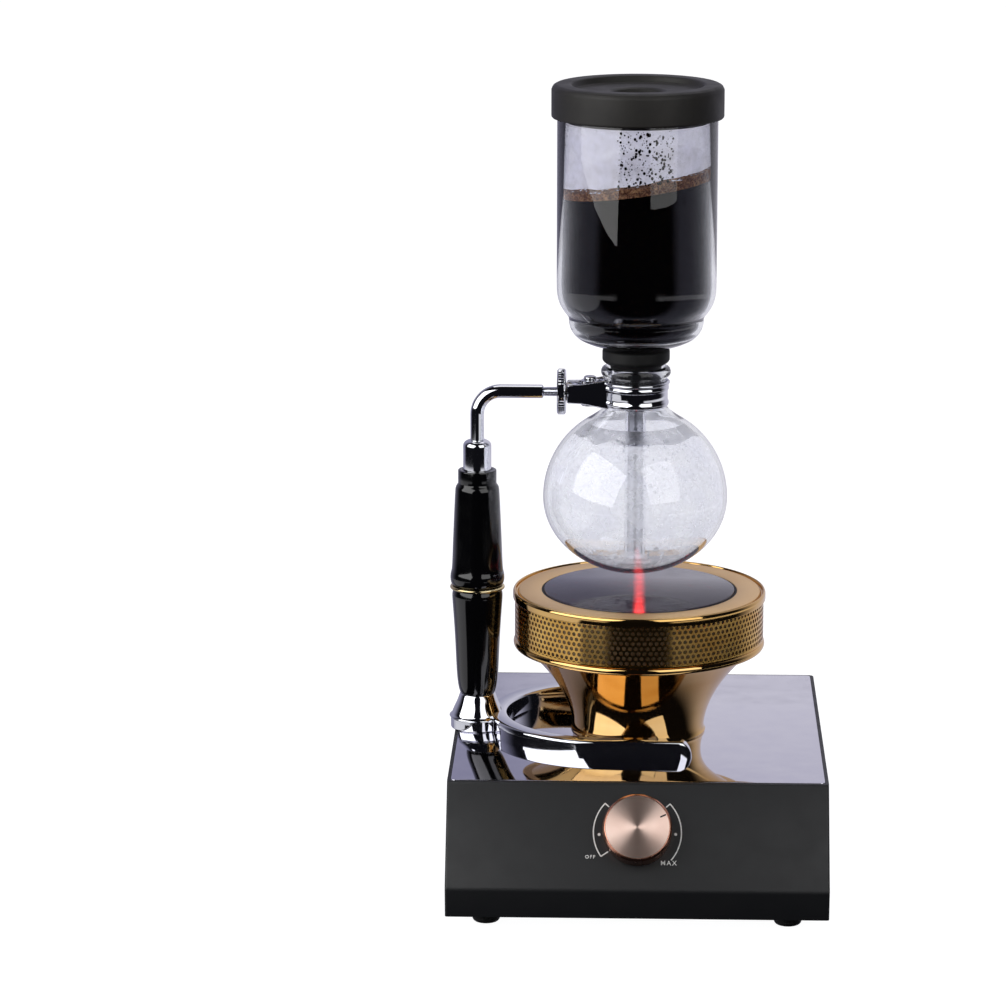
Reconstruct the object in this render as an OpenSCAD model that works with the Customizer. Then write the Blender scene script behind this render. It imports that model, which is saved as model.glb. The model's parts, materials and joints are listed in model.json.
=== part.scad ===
// Siphon coffee maker on its infrared beam heater: a mirror-topped control box with a perforated heater
// head, and a glass siphon whose stand hooks round that head.
// Frame: the origin is on the counter under the middle of the object, +X right, -Y front, +Z up.
// Heights called "above the plate" start at the top of the mirror plate.

/* [Heater box] */
// Width of the box
box_w = 191; // [186:1:200]
// Height of the mirror plate above the counter
plate_z = 70; // [68:1:76]
// Distance of the heater axis behind the origin
head_y = 10; // [8:1:12]
// Top face, from the heater axis to its front edge
top_front = 100; // [96:1:104]
// Top face, from the heater axis to the back wall
top_back = 108; // [104:1:112]
// How far the slanted panel runs forward
panel_run = 29; // [24:1:32]
// How far the slanted panel drops
panel_drop = 47; // [44:1:50]
// Thickness of the folded sheet
sheet_t = 1.5; // [1.2:0.1:2]
// Width of the painted edge round the mirror plate
edge_w = 1.7; // [1:0.1:3]
// Height of the rubber feet
foot_h = 8; // [7.5:0.5:9]
// Distance of the feet from the middle, side to side
foot_x = 75.5; // [70:0.5:80]

/* [Knob] */
// Radius of the knob
knob_r = 17.25; // [15:0.25:19]
// Height of the knob
knob_h = 10; // [8:0.5:12]
// Direction of the knob's notch, anticlockwise from the right
notch_deg = 25; // [-60:1:190]

/* [Heater head] */
// Radius of the throat that passes through the plate
throat_r = 20; // [18:0.5:24]
// Radius of the funnel where it stands on the plate
funnel_r0 = 34; // [31:0.5:35]
// Radius of the funnel at its top
funnel_r1 = 59.5; // [58:0.5:60]
// Height of the funnel
funnel_h = 45; // [44:0.5:46]
// Radius of the perforated band
band_r = 64.6; // [64:0.1:65]
// Height of the rim above the plate
rim_z = 75; // [74:0.5:76]
// Radius of the glass disc
disc_r = 49.4; // [46:0.1:50]
// Thickness of the glass disc
disc_t = 4; // [3:0.5:4]
// Radius of the quartz lamp
lamp_r = 5; // [4:0.5:5.5]

/* [Stand] */
// Distance of the handle from the heater axis
stand_x = 84; // [83:0.5:86]
// Width of the foot bar
bar_w = 9; // [8:0.5:10]
// Height of the foot bar
bar_h = 9.5; // [8:0.5:10]
// Inner radius of the horseshoe foot
hoop_r = 51; // [49:0.5:52]
// Centre of the horseshoe's arc, left of the heater axis
hoop_x = 17.5; // [16:0.5:18]
// Reach of the horseshoe's legs, right of the heater axis
leg_x = 23; // [18:1:30]
// Radius of the grips where they meet
grip_r = 14.25; // [13:0.25:14.5]
// Height of the arm above the plate
arm_z = 178.8; // [178:0.1:180]
// Radius of the arm
rod_r = 3.5; // [3:0.1:3.8]

/* [Clamp] */
// Distance of the jaw pivot from the heater axis
pivot_x = 26; // [25.5:0.1:26.5]
// Radius of the knurled nut
nut_r = 11.8; // [10:0.2:12.4]
// Radius of the arm's thread
thread_r = 2.5; // [2.2:0.1:2.6]

/* [Glassware] */
// Distance of the glass axis left of the heater axis
glass_x = 2.5; // [2:0.1:3]
// Radius of the lower bulb
bulb_r = 47.5; // [46:0.5:48]
// Height of the bulb's widest point above the plate
bulb_z = 124; // [123:0.5:125]
// Depth of the bulb below its widest point
bulb_b = 39.5; // [38:0.5:41]
// Thickness of the glass
glass_t = 2; // [1.6:0.1:2.2]
// Radius of the bulb's neck
neck_r = 15.6; // [15.4:0.1:15.6]
// Radius of the upper chamber
chamber_r = 40.8; // [40:0.1:41]
// Height of the upper chamber's mouth above the plate
chamber_top = 327; // [326:0.5:330]
// Radius of the stem
stem_r = 5.5; // [5:0.1:5.6]
// Radius of the lid
lid_r = 43.8; // [43.4:0.1:45]
// Height of the lid's top above the plate
lid_top = 337.6; // [337:0.1:341]

/* [Hidden] */

$fn = 96;
cut = 1;          // overshoot of cutting shapes
gap = 0.3;        // air between pieces that move past each other
fit = 0.05;       // clearance of a shaft in its bore

// heater box
top_z = plate_z - 0.3;
skirt_z = foot_h - 0.4;
front_y = head_y - top_front;
back_y = head_y + top_back;
crease_y = front_y - panel_run;
crease_z = top_z - panel_drop;
strip_y = crease_y + 2;
panel_len = sqrt(panel_run * panel_run + panel_drop * panel_drop);
panel_tilt = atan2(panel_drop, panel_run);
knob_up = 0.54;   // the knob's place on the panel, from the crease to the top edge
knob_y = crease_y + knob_up * panel_run;
knob_z = crease_z + knob_up * panel_drop;
plate_t = 1.5;
pan_t = 1.2;
pan_z = foot_h;
floor_z = pan_z + pan_t;
corner_r = 3;
tab = 14;
tab_t = 2;
foot_y = [front_y - 9, back_y - 17];
tab_x = box_w / 2 - sheet_t - tab / 2;
tab_y = [strip_y + sheet_t + tab / 2, back_y - sheet_t - tab / 2];
inlet_x = 58;
inlet_z = 37;
inlet_w = 27;
inlet_h = 19.6;
inlet_pitch = 40;

// control parts
board = [78, 56, 1.6];
board_at = [-62, -78, floor_z + 10];
board_holes = [for (x = [4, board.x - 4], y = [4, board.y - 4]) [board_at.x + x, board_at.y + y]];
sink_at = [board_at.x + 8, board_at.y + 12, board_at.z + board.z];
block = [32, 20, 15];

// heater head
band_z0 = 49;
band_z1 = 71;
sheet_g = 1.2;    // gauge of the spun and rolled head parts
liner_r = 61.4;
bowl_r0 = 12;
bowl_r1 = 46;
bowl_z0 = 20;
bowl_z1 = 64;
lamp_z = 63;
lamp_l = 76;
cap_l = 8;
disc_z = rim_z + 0.2;
groove_r = 63;

// stand, heights above the plate
boss_h = 6;
cone_z = 18.6;
ring_z = [74.4, 76.4];
grip_top = 137.7;
ferrule_z = 153.2;
bend_r = 12;
thread_x = [50, 29.6];
jaw_top = arm_z + 6.4;
jaw_low = arm_z - 6.8;
eye_h = 3;
knuckle_r = 4.6;
tail_x = [37.9, 31.2];
tail_y = [1.6, 7.2];
cheek_y = 4.9;
cheek_x = 17.5;   // where a cheek meets the collar, left of the heater axis
collar_z = [171.8, 185.2];
collar_r = 16.9;
collar_t = 1;
nut_x = [42.9, 38.3];

// glassware, heights above the plate
neck_z = 171.4;
lip_z = 192.4;
lip_r = 17.9;
stem_z = 91;
stopper_top = 202;
skirt_h = 16.8;
well_z = 203;
filter_z = 208.5;
filter_r = 26;
socket_r = 13;

// ---- helpers ----

module at_head(z = 0) translate([0, head_y, plate_z + z]) children();
module at_stand(z = 0) translate([-stand_x, head_y, plate_z + z]) children();
module at_glass(z = 0) translate([-glass_x, head_y, plate_z + z]) children();
module at_pivot(z = 0) translate([-pivot_x, head_y, plate_z + z]) children();

// Local Z stands out of the slanted panel, and local Y runs up it.
module on_panel(z = 0)
    translate([0, knob_y, knob_z]) rotate([panel_tilt, 0, 0]) translate([0, 0, z]) children();

module turned(points) rotate_extrude() polygon(points);

module ring(r_in, r_out, h)
    difference() {
        cylinder(r = r_out, h = h);
        translate([0, 0, -cut]) cylinder(r = r_in, h = h + 2 * cut);
    }

// A block centred in X and Y that stands on Z = 0.
module slab(size) translate([-size.x / 2, -size.y / 2, 0]) cube(size);

// A pan-head screw that hangs head down: the head's top is at Z = 0 and the shank rises from it.
module screw(head_r, head_h, shank_r, length) {
    translate([0, 0, -head_h])
        difference() {
            cylinder(r = head_r, h = head_h);
            translate([0, 0, -cut]) cylinder(r = shank_r * 0.6, h = head_h / 2 + cut, $fn = 6);
        }
    cylinder(r = shank_r, h = length);
}

function unit(v) = v / norm(v);
function heading(path, i) = unit(path[min(i + 1, len(path) - 1)] - path[max(i - 1, 0)]);
function hoop(p, dir, r, up, sides) =
    let (u = unit(cross(dir, up)), v = cross(dir, u))
    [for (k = [0 : sides - 1]) p + r * (cos(360 * k / sides) * u + sin(360 * k / sides) * v)];

// A round lead along a path; "up" is any direction that the path never runs in.
module lead(path, r, up, sides = 8) {
    n = len(path);
    polyhedron(
        points = [for (i = [0 : n - 1]) each hoop(path[i], heading(path, i), r, up, sides)],
        faces = concat(
            [[for (k = [sides - 1 : -1 : 0]) k]],
            [for (i = [0 : n - 2], k = [0 : sides - 1])
                let (a = i * sides, b = (k + 1) % sides) [a + k, a + b, a + sides + b, a + sides + k]],
            [[for (k = [0 : sides - 1]) (n - 1) * sides + k]]));
}

// A smooth arc of points between two path points is drawn by this quadratic curve.
function bow(a, b, c, steps) = [for (i = [0 : steps]) let (t = i / steps)
    (1 - t) * (1 - t) * a + 2 * t * (1 - t) * b + t * t * c];

// ---- heater box ----

function side_outline(inset, bottom) =
    let (shift = inset * panel_len / panel_drop)
    [[front_y - inset * panel_run / panel_drop + shift, top_z - inset], [crease_y + shift, crease_z],
     [strip_y + inset, bottom], [back_y - inset, bottom], [back_y - inset, top_z - inset]];

module box_form(inset, bottom)
    intersection() {
        translate([inset - box_w / 2, 0, 0]) rotate([90, 0, 90])
            linear_extrude(box_w - 2 * inset) polygon(side_outline(inset, bottom));
        rounded_block(box_w - 2 * inset, crease_y - cut, back_y - inset, corner_r - inset / 2);
    }

// A tall block with rounded vertical corners.
module rounded_block(w, y0, y1, r)
    linear_extrude(plate_z + cut) {
        translate([r - w / 2, y0]) square([w - 2 * r, y1 - y0]);
        translate([-w / 2, y0 + r]) square([w, y1 - y0 - 2 * r]);
        for (x = [r - w / 2, w / 2 - r], y = [y0 + r, y1 - r]) translate([x, y]) circle(r = r);
    }

module corner_spots() for (s = [-1, 1], y = tab_y) translate([s * tab_x, y, 0]) children();
module foot_spots() for (s = [-1, 1], y = foot_y) translate([s * foot_x, y, 0]) children();

module housing()
    color([0.12, 0.12, 0.14]) difference() {
        union() {
            difference() {
                box_form(0, skirt_z);
                box_form(sheet_t, skirt_z - cut);
                translate([edge_w - box_w / 2, front_y + edge_w, plate_z - plate_t])
                    cube([box_w - 2 * edge_w, top_front + top_back - 2 * edge_w, plate_t + cut]);
            }
            // inner shelf that carries the mirror plate
            translate([sheet_t - box_w / 2, front_y + sheet_t, plate_z - plate_t - sheet_t])
                cube([box_w - 2 * sheet_t, top_front + top_back - 2 * sheet_t, sheet_t]);
            corner_spots() translate([0, 0, floor_z]) slab([tab, tab, tab_t]);
        }
        at_head(-10) cylinder(r = throat_r + gap, h = 20);
        on_panel(-5) cylinder(r = 3.7, h = 10);
        translate([inlet_x, back_y, inlet_z]) translate([-inlet_w / 2 - 0.2, -5, -inlet_h / 2 - 0.2])
            cube([inlet_w + 0.4, 10, inlet_h + 0.4]);
        translate([inlet_x, back_y, inlet_z]) for (s = [-1, 1]) translate([s * inlet_pitch / 2, 5, 0])
            rotate([90, 0, 0]) cylinder(r = 1.6, h = 10);
        corner_spots() cylinder(r = 1.6, h = 20);
    }

module top_plate()
    color([0.78, 0.78, 0.84]) difference() {
        translate([edge_w + 0.1 - box_w / 2, front_y + edge_w + 0.1, plate_z - plate_t])
            cube([box_w - 2 * edge_w - 0.2, top_front + top_back - 2 * edge_w - 0.2, plate_t]);
        at_head(-5) cylinder(r = throat_r + gap, h = 10);
    }

module base_pan() {
    clear = sheet_t + gap;
    color([0.3, 0.3, 0.32]) difference() {
        translate([clear - box_w / 2, strip_y + clear, pan_z])
            cube([box_w - 2 * clear, back_y - strip_y - 2 * clear, pan_t]);
        corner_spots() cylinder(r = 1.7, h = 20);
        foot_spots() cylinder(r = 2.1, h = 20);
        // cooling slots
        for (i = [-4 : 4]) translate([i * 9 - 1.5, 50, 0]) cube([3, 40, 20]);
    }
}

module pan_screws()
    color("silver") corner_spots() translate([0, 0, pan_z]) screw(3, 2, 1.5, 5);

module rubber_feet() {
    flat_r = 4.9;
    round_r = 7 - flat_r;
    color([0.05, 0.05, 0.05]) foot_spots()
        turned(concat([[3.7, 0]],
            [for (a = [-90 : 15 : 0]) [flat_r + round_r * cos(a), 2.2 + 2.2 * sin(a)]],
            [[7, foot_h], [2.2, foot_h], [2.2, 4.5], [3.7, 4.5]]));
}

module foot_screws()
    color("silver") foot_spots() {
        translate([0, 0, 4.5]) screw(3.5, 2.2, 2, 9);
        translate([0, 0, floor_z]) difference() {
            cylinder(r = 4, h = 3.2, $fn = 6);
            translate([0, 0, -cut]) cylinder(r = 2 + fit, h = 6);
        }
    }

// ---- knob and control ----

module knob()
    color([0.8, 0.55, 0.42]) on_panel(0.8) difference() {
        turned([[3 + fit, 3], [8, 3], [8, 1.5], [knob_r - 2.5, 1.5], [knob_r - 2.5, 0], [knob_r, 0],
            [knob_r, knob_h - 1.2], [knob_r - 1.2, knob_h], [0, knob_h], [0, knob_h - 2.5],
            [3 + fit, knob_h - 2.5]]);
        rotate([0, 0, notch_deg]) translate([knob_r - 4.5, -0.7, knob_h - 1]) cube([6, 1.4, 3]);
        rotate([0, 0, notch_deg + 180]) translate([0, 0, 5]) rotate([0, 90, 0])
            cylinder(r = 1.5, h = knob_r + cut);
    }

module knob_grub_screw()
    color([0.2, 0.2, 0.2]) on_panel(5.8) rotate([0, 0, notch_deg + 180]) rotate([0, 90, 0])
        translate([0, 0, 3.2]) difference() {
            cylinder(r = 1.45, h = 5);
            translate([0, 0, 3]) cylinder(r = 0.75, h = 3, $fn = 6);
        }

module pot_shaft()
    color("silver") on_panel(-4) cylinder(r = 3, h = 11.8);

module pot_body()
    color([0.25, 0.25, 0.3]) {
        on_panel(-sheet_t - 10) difference() {
            union() {
                cylinder(r = 8.5, h = 10);
                cylinder(r = 3.5, h = 11.8);
                for (i = [-1 : 1]) translate([i * 5, -9.5, 1]) slab([2, 7, 0.8]);
            }
            translate([0, 0, 5]) cylinder(r = 3 + fit, h = 20);
        }
    }

module pot_nut()
    color("silver") on_panel(0) difference() {
        cylinder(r = 5.5, h = 2, $fn = 6);
        translate([0, 0, -cut]) cylinder(r = 3.5 + fit, h = 6);
    }

module dimmer_board()
    color([0.1, 0.35, 0.2]) difference() {
        translate(board_at) cube(board);
        for (p = board_holes) translate(p) cylinder(r = 1.6, h = 60);
    }

module board_standoffs()
    color([0.85, 0.8, 0.6]) for (p = board_holes) translate([p.x, p.y, floor_z])
        ring(1.5 + fit, 3, board_at.z - floor_z);

module board_screws()
    color("silver") for (p = board_holes) translate([p.x, p.y, board_at.z + board.z])
        mirror([0, 0, 1]) screw(2.8, 1.8, 1.5, 8);

module heat_sink()
    color([0.6, 0.6, 0.62]) translate(sink_at) {
        cube([36, 3, 24]);
        for (i = [0 : 5]) translate([i * 6.8, 2.5, 0]) cube([2, 12, 24]);
    }

module triac()
    color([0.08, 0.08, 0.08]) translate(sink_at + [13, -4.6, 0]) {
        translate([0, 0, 4]) cube([10, 4.5, 9]);
        translate([0, 3.2, 13]) cube([10, 1.3, 6]);
        for (i = [0 : 2]) translate([1.7 + i * 2.54, 1.5, 0]) cube([1, 1, 4.2]);
    }

module filter_choke()
    color([0.7, 0.4, 0.15]) translate([board_at.x + 62, board_at.y + 20, board_at.z + board.z + 13])
        rotate([90, 0, 0]) rotate_extrude() translate([8.5, 0]) circle(r = 4.4);

module film_capacitor()
    color([0.75, 0.6, 0.1]) translate([board_at.x + 62, board_at.y + 40, board_at.z + board.z])
        slab([18, 8.5, 15]);

module terminal_block()
    color([0.9, 0.88, 0.82]) translate([0, head_y, floor_z]) difference() {
        slab(block);
        for (i = [-1 : 1]) translate([i * 9, 0, block.z / 2]) {
            rotate([90, 0, 0]) translate([0, 0, -block.y]) cylinder(r = 2.4, h = 2 * block.y);
            cylinder(r = 1.8, h = block.z);
        }
    }

module power_inlet()
    color([0.07, 0.07, 0.08]) translate([inlet_x, back_y, inlet_z]) difference() {
        union() {
            translate([-25, 0, -12]) cube([50, 2.4, 24]);
            translate([-inlet_w / 2, -18, -inlet_h / 2]) cube([inlet_w, 19, inlet_h]);
        }
        translate([-inlet_w / 2 + 1.5, -15, -inlet_h / 2 + 1.5])
            cube([inlet_w - 3, 20, inlet_h - 3]);
        for (s = [-1, 1]) translate([s * inlet_pitch / 2, 5, 0]) rotate([90, 0, 0])
            cylinder(r = 1.7, h = 10);
        for (i = [-1 : 1]) translate([i * 7 - 2.1, -20, (i == 0 ? 3 : -3) - 1.1]) cube([4.2, 8, 2.2]);
    }

module inlet_pins()
    color("silver") translate([inlet_x, back_y, inlet_z])
        for (i = [-1 : 1]) translate([i * 7 - 2, -24, (i == 0 ? 3 : -3) - 1]) cube([4, 20.5, 2]);

module inlet_screws()
    color([0.15, 0.15, 0.15]) translate([inlet_x, back_y + 2.4, inlet_z]) for (s = [-1, 1])
        translate([s * inlet_pitch / 2, 0, 0]) rotate([90, 0, 0]) screw(2.9, 1.8, 1.5, 7);

// ---- leads inside the box ----

module lamp_leads() {
    throat_y = 8;
    color([0.85, 0.82, 0.75]) for (s = [-1, 1])
        lead(concat(
            bow([s * 9, head_y, floor_z + block.z + 0.5], [s * 9, head_y + s * throat_y, 50],
                [0, head_y + s * throat_y, plate_z + 2], 6),
            bow([0, head_y + s * (throat_y + 3), plate_z + 6], [0, head_y + s * 36, plate_z + 20],
                [0, head_y + s * 47, plate_z + lamp_z - 8], 8)), 1.1, [1, 0.001, 0]);
}

module power_leads()
    color([0.3, 0.2, 0.15]) for (i = [-1 : 1])
        lead(bow([inlet_x + i * 7, back_y - 25.6, inlet_z + (i == 0 ? 3 : -3)],
            [i * 9 + 6, 70, 18 + 3 * i], [i * 9, head_y + 8, floor_z + block.z / 2], 12), 1.5, [0, 0, 1]);

module control_leads()
    color([0.6, 0.1, 0.1]) for (i = [-1, 1])
        lead(bow([i * 9, head_y - 8, floor_z + block.z / 2], [i * 9, -8, 14 + i],
            [i * 4 - 6, board_at.y + board.y + 1.5, board_at.z + 0.8], 8), 1.2, [1, 0, 0.001]);

// ---- heater head ----

function flare(z) = funnel_r0 + (funnel_r1 - funnel_r0) * pow(z / funnel_h, 1.9);
flare_steps = [for (i = [0 : 12]) funnel_h * i / 12];

module funnel()
    color([0.83, 0.66, 0.4]) at_head() turned(concat(
        [[throat_r - 1.5, -14], [throat_r, -14], [throat_r, 0], [funnel_r0 + 1, 0],
         [funnel_r0 + 1, 0.8]],
        [for (z = flare_steps) if (z > 1) [flare(z), z]],
        [[funnel_r1 - sheet_g - 0.4, funnel_h]],
        [for (i = [12 : -1 : 1]) if (flare_steps[i] < funnel_h - 1)
            [flare(flare_steps[i]) - sheet_g, flare_steps[i] + 0.2]],
        [[funnel_r0 - sheet_g, sheet_t], [throat_r - 1.5, sheet_t]]));

module throat_nut()
    color([0.6, 0.6, 0.6]) at_head(-plate_t - sheet_t - 4.2) ring(throat_r + fit, throat_r + 7, 4);

module bead_ring()
    color([0.86, 0.68, 0.4]) at_head() turned(concat(
        [[funnel_r1 - 3, funnel_h], [band_r - 1, funnel_h]],
        [for (a = [-60 : 20 : 60]) [band_r - 1 + 1.6 * cos(a), funnel_h + 2 + 2 * sin(a)]],
        [[band_r - 1, band_z0], [band_r - 2, band_z0], [band_r - 2, funnel_h + sheet_g],
         [funnel_r1 - 3, funnel_h + sheet_g]]));

module mesh_band()
    color([0.85, 0.68, 0.42]) at_head(band_z0) ring(band_r - 0.6, band_r, band_z1 - band_z0);

module heat_liner()
    color([0.85, 0.85, 0.83]) at_head(funnel_h + sheet_g)
        ring(liner_r - 0.8, liner_r, band_z1 - funnel_h - sheet_g - 1);

module rim_ring()
    color([0.8, 0.65, 0.44]) at_head() turned([
        [disc_r + 1.2, rim_z - 0.4], [groove_r - 0.6, rim_z - 0.4], [groove_r, rim_z - 1.6],
        [groove_r + 0.9, rim_z - 1.6], [groove_r + 1.1, rim_z - 0.4], [groove_r + 1.6, rim_z],
        [groove_r + 2.1, rim_z - 0.3], [groove_r + 2.5, rim_z - 1.2], [groove_r + 2.5, band_z1 - 3.6],
        [band_r + 0.1, band_z1 - 3.6], [band_r + 0.1, rim_z - 2.4], [band_r - 2.2, rim_z - 2.8],
        [disc_r + 2.2, rim_z - 2.8], [disc_r + 2.2, rim_z - disc_t - 2.6],
        [disc_r - 2.6, rim_z - disc_t - 2.6], [disc_r - 2.6, rim_z - disc_t - 1.4],
        [disc_r + 1.2, rim_z - disc_t - 1.4]]);

module glass_disc()
    color([0.3, 0.28, 0.34, 0.6]) at_head() turned([[0, disc_z - disc_t], [disc_r - 0.5, disc_z - disc_t],
        [disc_r, disc_z - disc_t + 0.5], [disc_r, disc_z - 0.5], [disc_r - 0.5, disc_z], [0, disc_z]]);

module disc_gasket()
    color([0.03, 0.03, 0.03]) at_head() turned([[disc_r - 2.6, rim_z - disc_t - 1.4],
        [disc_r + 1.15, rim_z - disc_t - 1.4], [disc_r + 1.15, disc_z - 0.8], [disc_r + 0.02, disc_z - 0.8],
        [disc_r + 0.02, disc_z - disc_t], [disc_r - 2.6, disc_z - disc_t]]);

function dish(z) = sqrt(bowl_r0 * bowl_r0
    + (bowl_r1 * bowl_r1 - bowl_r0 * bowl_r0) * (z - bowl_z0) / (bowl_z1 - bowl_z0));
dish_steps = [for (i = [0 : 10]) bowl_z0 + (bowl_z1 - bowl_z0) * i / 10];

module reflector_bowl()
    color([0.8, 0.8, 0.82]) at_head() difference() {
        turned(concat([[0, bowl_z0 - 1], [bowl_r0, bowl_z0 - 1]],
            [for (z = dish_steps) if (z > bowl_z0) [dish(z) + 1, z - 1]],
            [[liner_r - 1, bowl_z1 - 1], [liner_r - 1, bowl_z1]],
            [for (i = [10 : -1 : 0]) [dish(dish_steps[i]), dish_steps[i]]],
            [[0, bowl_z0]]));
        // windows for the ends of the lamp
        for (s = [-1, 1]) translate([0, s * (lamp_l / 2 + 4), lamp_z - lamp_r - 1.5]) slab([13, 24, 20]);
    }

module quartz_lamp()
    color([0.9, 0.5, 0.4, 0.5]) at_head(lamp_z) rotate([90, 0, 0]) translate([0, 0, -lamp_l / 2])
        difference() {
            cylinder(r = lamp_r, h = lamp_l);
            translate([0, 0, 2]) cylinder(r = lamp_r - 1, h = lamp_l - 4);
        }

module lamp_filament()
    color([1, 0.4, 0.2]) at_head(lamp_z) rotate([90, 0, 0]) translate([0, 0, -lamp_l / 2 + 2.5])
        ring(1, 1.6, lamp_l - 5);

module lamp_caps()
    color([0.92, 0.9, 0.85]) for (s = [-1, 1]) at_head(lamp_z - lamp_r - 0.5)
        translate([0, s * (lamp_l / 2 + cap_l / 2 + fit), 0]) slab([2 * lamp_r + 1, cap_l, 2 * lamp_r + 1]);

module lamp_brackets() {
    back = lamp_l / 2 + cap_l + 0.1;
    color("silver") for (s = [-1, 1]) at_head() translate([0, s * (back + 0.6), 0]) {
        translate([0, 0, lamp_z - lamp_r - 1.2]) slab([10, 1.2, 9]);
        translate([0, s * 3, lamp_z - lamp_r - 1.2]) slab([10, 6, 0.7]);
    }
}

// ---- stand ----

// The foot bar's section: flat below, with both top edges rounded. "grow" makes a cutting shape of it.
function bar_section(grow) =
    let (w = bar_w / 2 + grow, h = bar_h + grow, r = 2.6)
    concat([[-w, 0], [w, 0]],
        [for (a = [0 : 15 : 90]) [w - r + r * cos(a), h - r + r * sin(a)]],
        [for (a = [90 : 15 : 180]) [r - w + r * cos(a), h - r + r * sin(a)]]);

module foot_bar(grow = 0) {
    mid_r = hoop_r + bar_w / 2;
    straight = hoop_x + leg_x;
    at_head() translate([-hoop_x, 0, 0]) {
        intersection() {
            rotate_extrude() translate([mid_r, 0]) polygon(bar_section(grow));
            translate([-2 * mid_r, -mid_r * 2, -cut]) cube([2 * mid_r, 4 * mid_r, 30]);
        }
        for (s = [-1, 1]) translate([0, s * mid_r, 0]) {
            rotate([90, 0, 90]) linear_extrude(straight) polygon(bar_section(grow));
            translate([straight, 0, 0]) rotate_extrude() intersection() {
                polygon(bar_section(grow));
                square([bar_w, 2 * bar_h]);
            }
        }
    }
}

module stand_foot()
    color([0.8, 0.8, 0.82]) difference() {
        union() {
            foot_bar();
            at_stand() cylinder(r = grip_r - 0.25, h = boss_h);
        }
        at_stand(-cut) cylinder(r = 3.2, h = 30);
        at_stand(-cut) cylinder(r = 6.5, h = 4.4 + cut);
    }

module foot_nut()
    color("silver") at_stand(0.6) difference() {
        cylinder(r = 5.8, h = 3.6, $fn = 6);
        translate([0, 0, -cut]) cylinder(r = 3 + fit, h = 6);
    }

module bell_cap()
    color([0.82, 0.82, 0.84]) difference() {
        at_stand() turned([[3.2, boss_h], [grip_r - 0.25, boss_h], [grip_r - 0.6, boss_h + 1.6],
            [10.4, 14.5], [9, cone_z], [3.2, cone_z]]);
        foot_bar(0.1);
    }

module tie_rod()
    color("silver") at_stand(0.8) cylinder(r = 3, h = 137);

module lower_grip()
    color([0.05, 0.05, 0.05]) at_stand() turned([[3.2, cone_z], [8.9, cone_z], [10.2, 23.5], [10.9, 30],
        [11.7, 48.3], [12.5, 61], [grip_r - 1.2, ring_z[0] - 1], [grip_r - 1.6, ring_z[0]],
        [3.2, ring_z[0]]]);

module grip_ring()
    color([0.85, 0.78, 0.62]) at_stand(ring_z[0]) ring(3.2, grip_r, ring_z[1] - ring_z[0]);

module upper_grip()
    color([0.05, 0.05, 0.05]) at_stand() turned([[3.2, ring_z[1]], [grip_r - 0.8, ring_z[1]],
        [grip_r, ring_z[1] + 2], [grip_r - 0.1, ring_z[1] + 4.5], [13.2, 85.2], [12.5, 102],
        [11.9, 116], [11.4, 127], [10.8, 129.4], [9.95, 130.4], [9.95, grip_top - 0.6],
        [9.4, grip_top], [3.2, grip_top]]);

module ferrule()
    color([0.8, 0.8, 0.82]) at_stand() turned(concat([[3 + fit, grip_top], [7.3, grip_top],
        [7.3, ferrule_z - 3]],
        [for (a = [15 : 15 : 75]) [rod_r + fit + 3.75 * cos(a), ferrule_z - 3 + 3 * sin(a)]],
        [[rod_r + fit, ferrule_z], [rod_r + fit, ferrule_z - 13], [3 + fit, ferrule_z - 13]]));

module arm_rod() {
    rise = arm_z - bend_r;
    color([0.8, 0.8, 0.82]) {
        at_stand(ferrule_z - 12.8) cylinder(r = rod_r, h = rise - ferrule_z + 12.8);
        at_stand(rise) translate([bend_r, 0, 0]) rotate([90, 0, 0]) intersection() {
            rotate_extrude() translate([bend_r, 0]) circle(r = rod_r, $fn = 48);
            translate([-2 * bend_r, 0, -bend_r]) cube(2 * bend_r);
        }
        at_stand(arm_z) translate([bend_r, 0, 0]) rotate([0, 90, 0])
            cylinder(r = rod_r, h = stand_x - bend_r - thread_x[0]);
        at_head(arm_z) translate([-thread_x[0], 0, 0]) rotate([0, 90, 0])
            cylinder(r = thread_r, h = thread_x[0] - thread_x[1]);
        at_pivot(arm_z - eye_h / 2) ring(1.8, 4.4, eye_h);
    }
}

// ---- clamp ----

module clamp_nut()
    color([0.8, 0.8, 0.82]) at_head(arm_z) translate([-nut_x[0], 0, 0]) rotate([0, 90, 0])
        turned([[thread_r + fit, 0], [nut_r - 1, 0], [nut_r, 1], [nut_r, nut_x[0] - nut_x[1] - 1],
            [nut_r - 1, nut_x[0] - nut_x[1]], [thread_r + fit, nut_x[0] - nut_x[1]]]);

// Its nose spreads the jaws' tails, which closes the collar on the neck.
module clamp_wedge()
    color([0.7, 0.7, 0.7]) at_head(arm_z) translate([-nut_x[1] + fit, 0, 0]) rotate([0, 90, 0])
        turned([[thread_r + fit, 0], [4.7, 0], [4.7, 0.6], [3, 4], [thread_r + fit, 4]]);

module pivot_screw()
    color("silver") at_pivot(jaw_top + 0.1) {
        difference() {
            turned([[0, 0], [3.3, 0], [3.3, 0.8], [2.2, 1.9], [0, 1.9]]);
            translate([-5, -0.4, 1.2]) cube([10, 0.8, 2]);
        }
        translate([0, 0, jaw_low - jaw_top]) cylinder(r = 1.75, h = jaw_top - jaw_low);
    }

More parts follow.
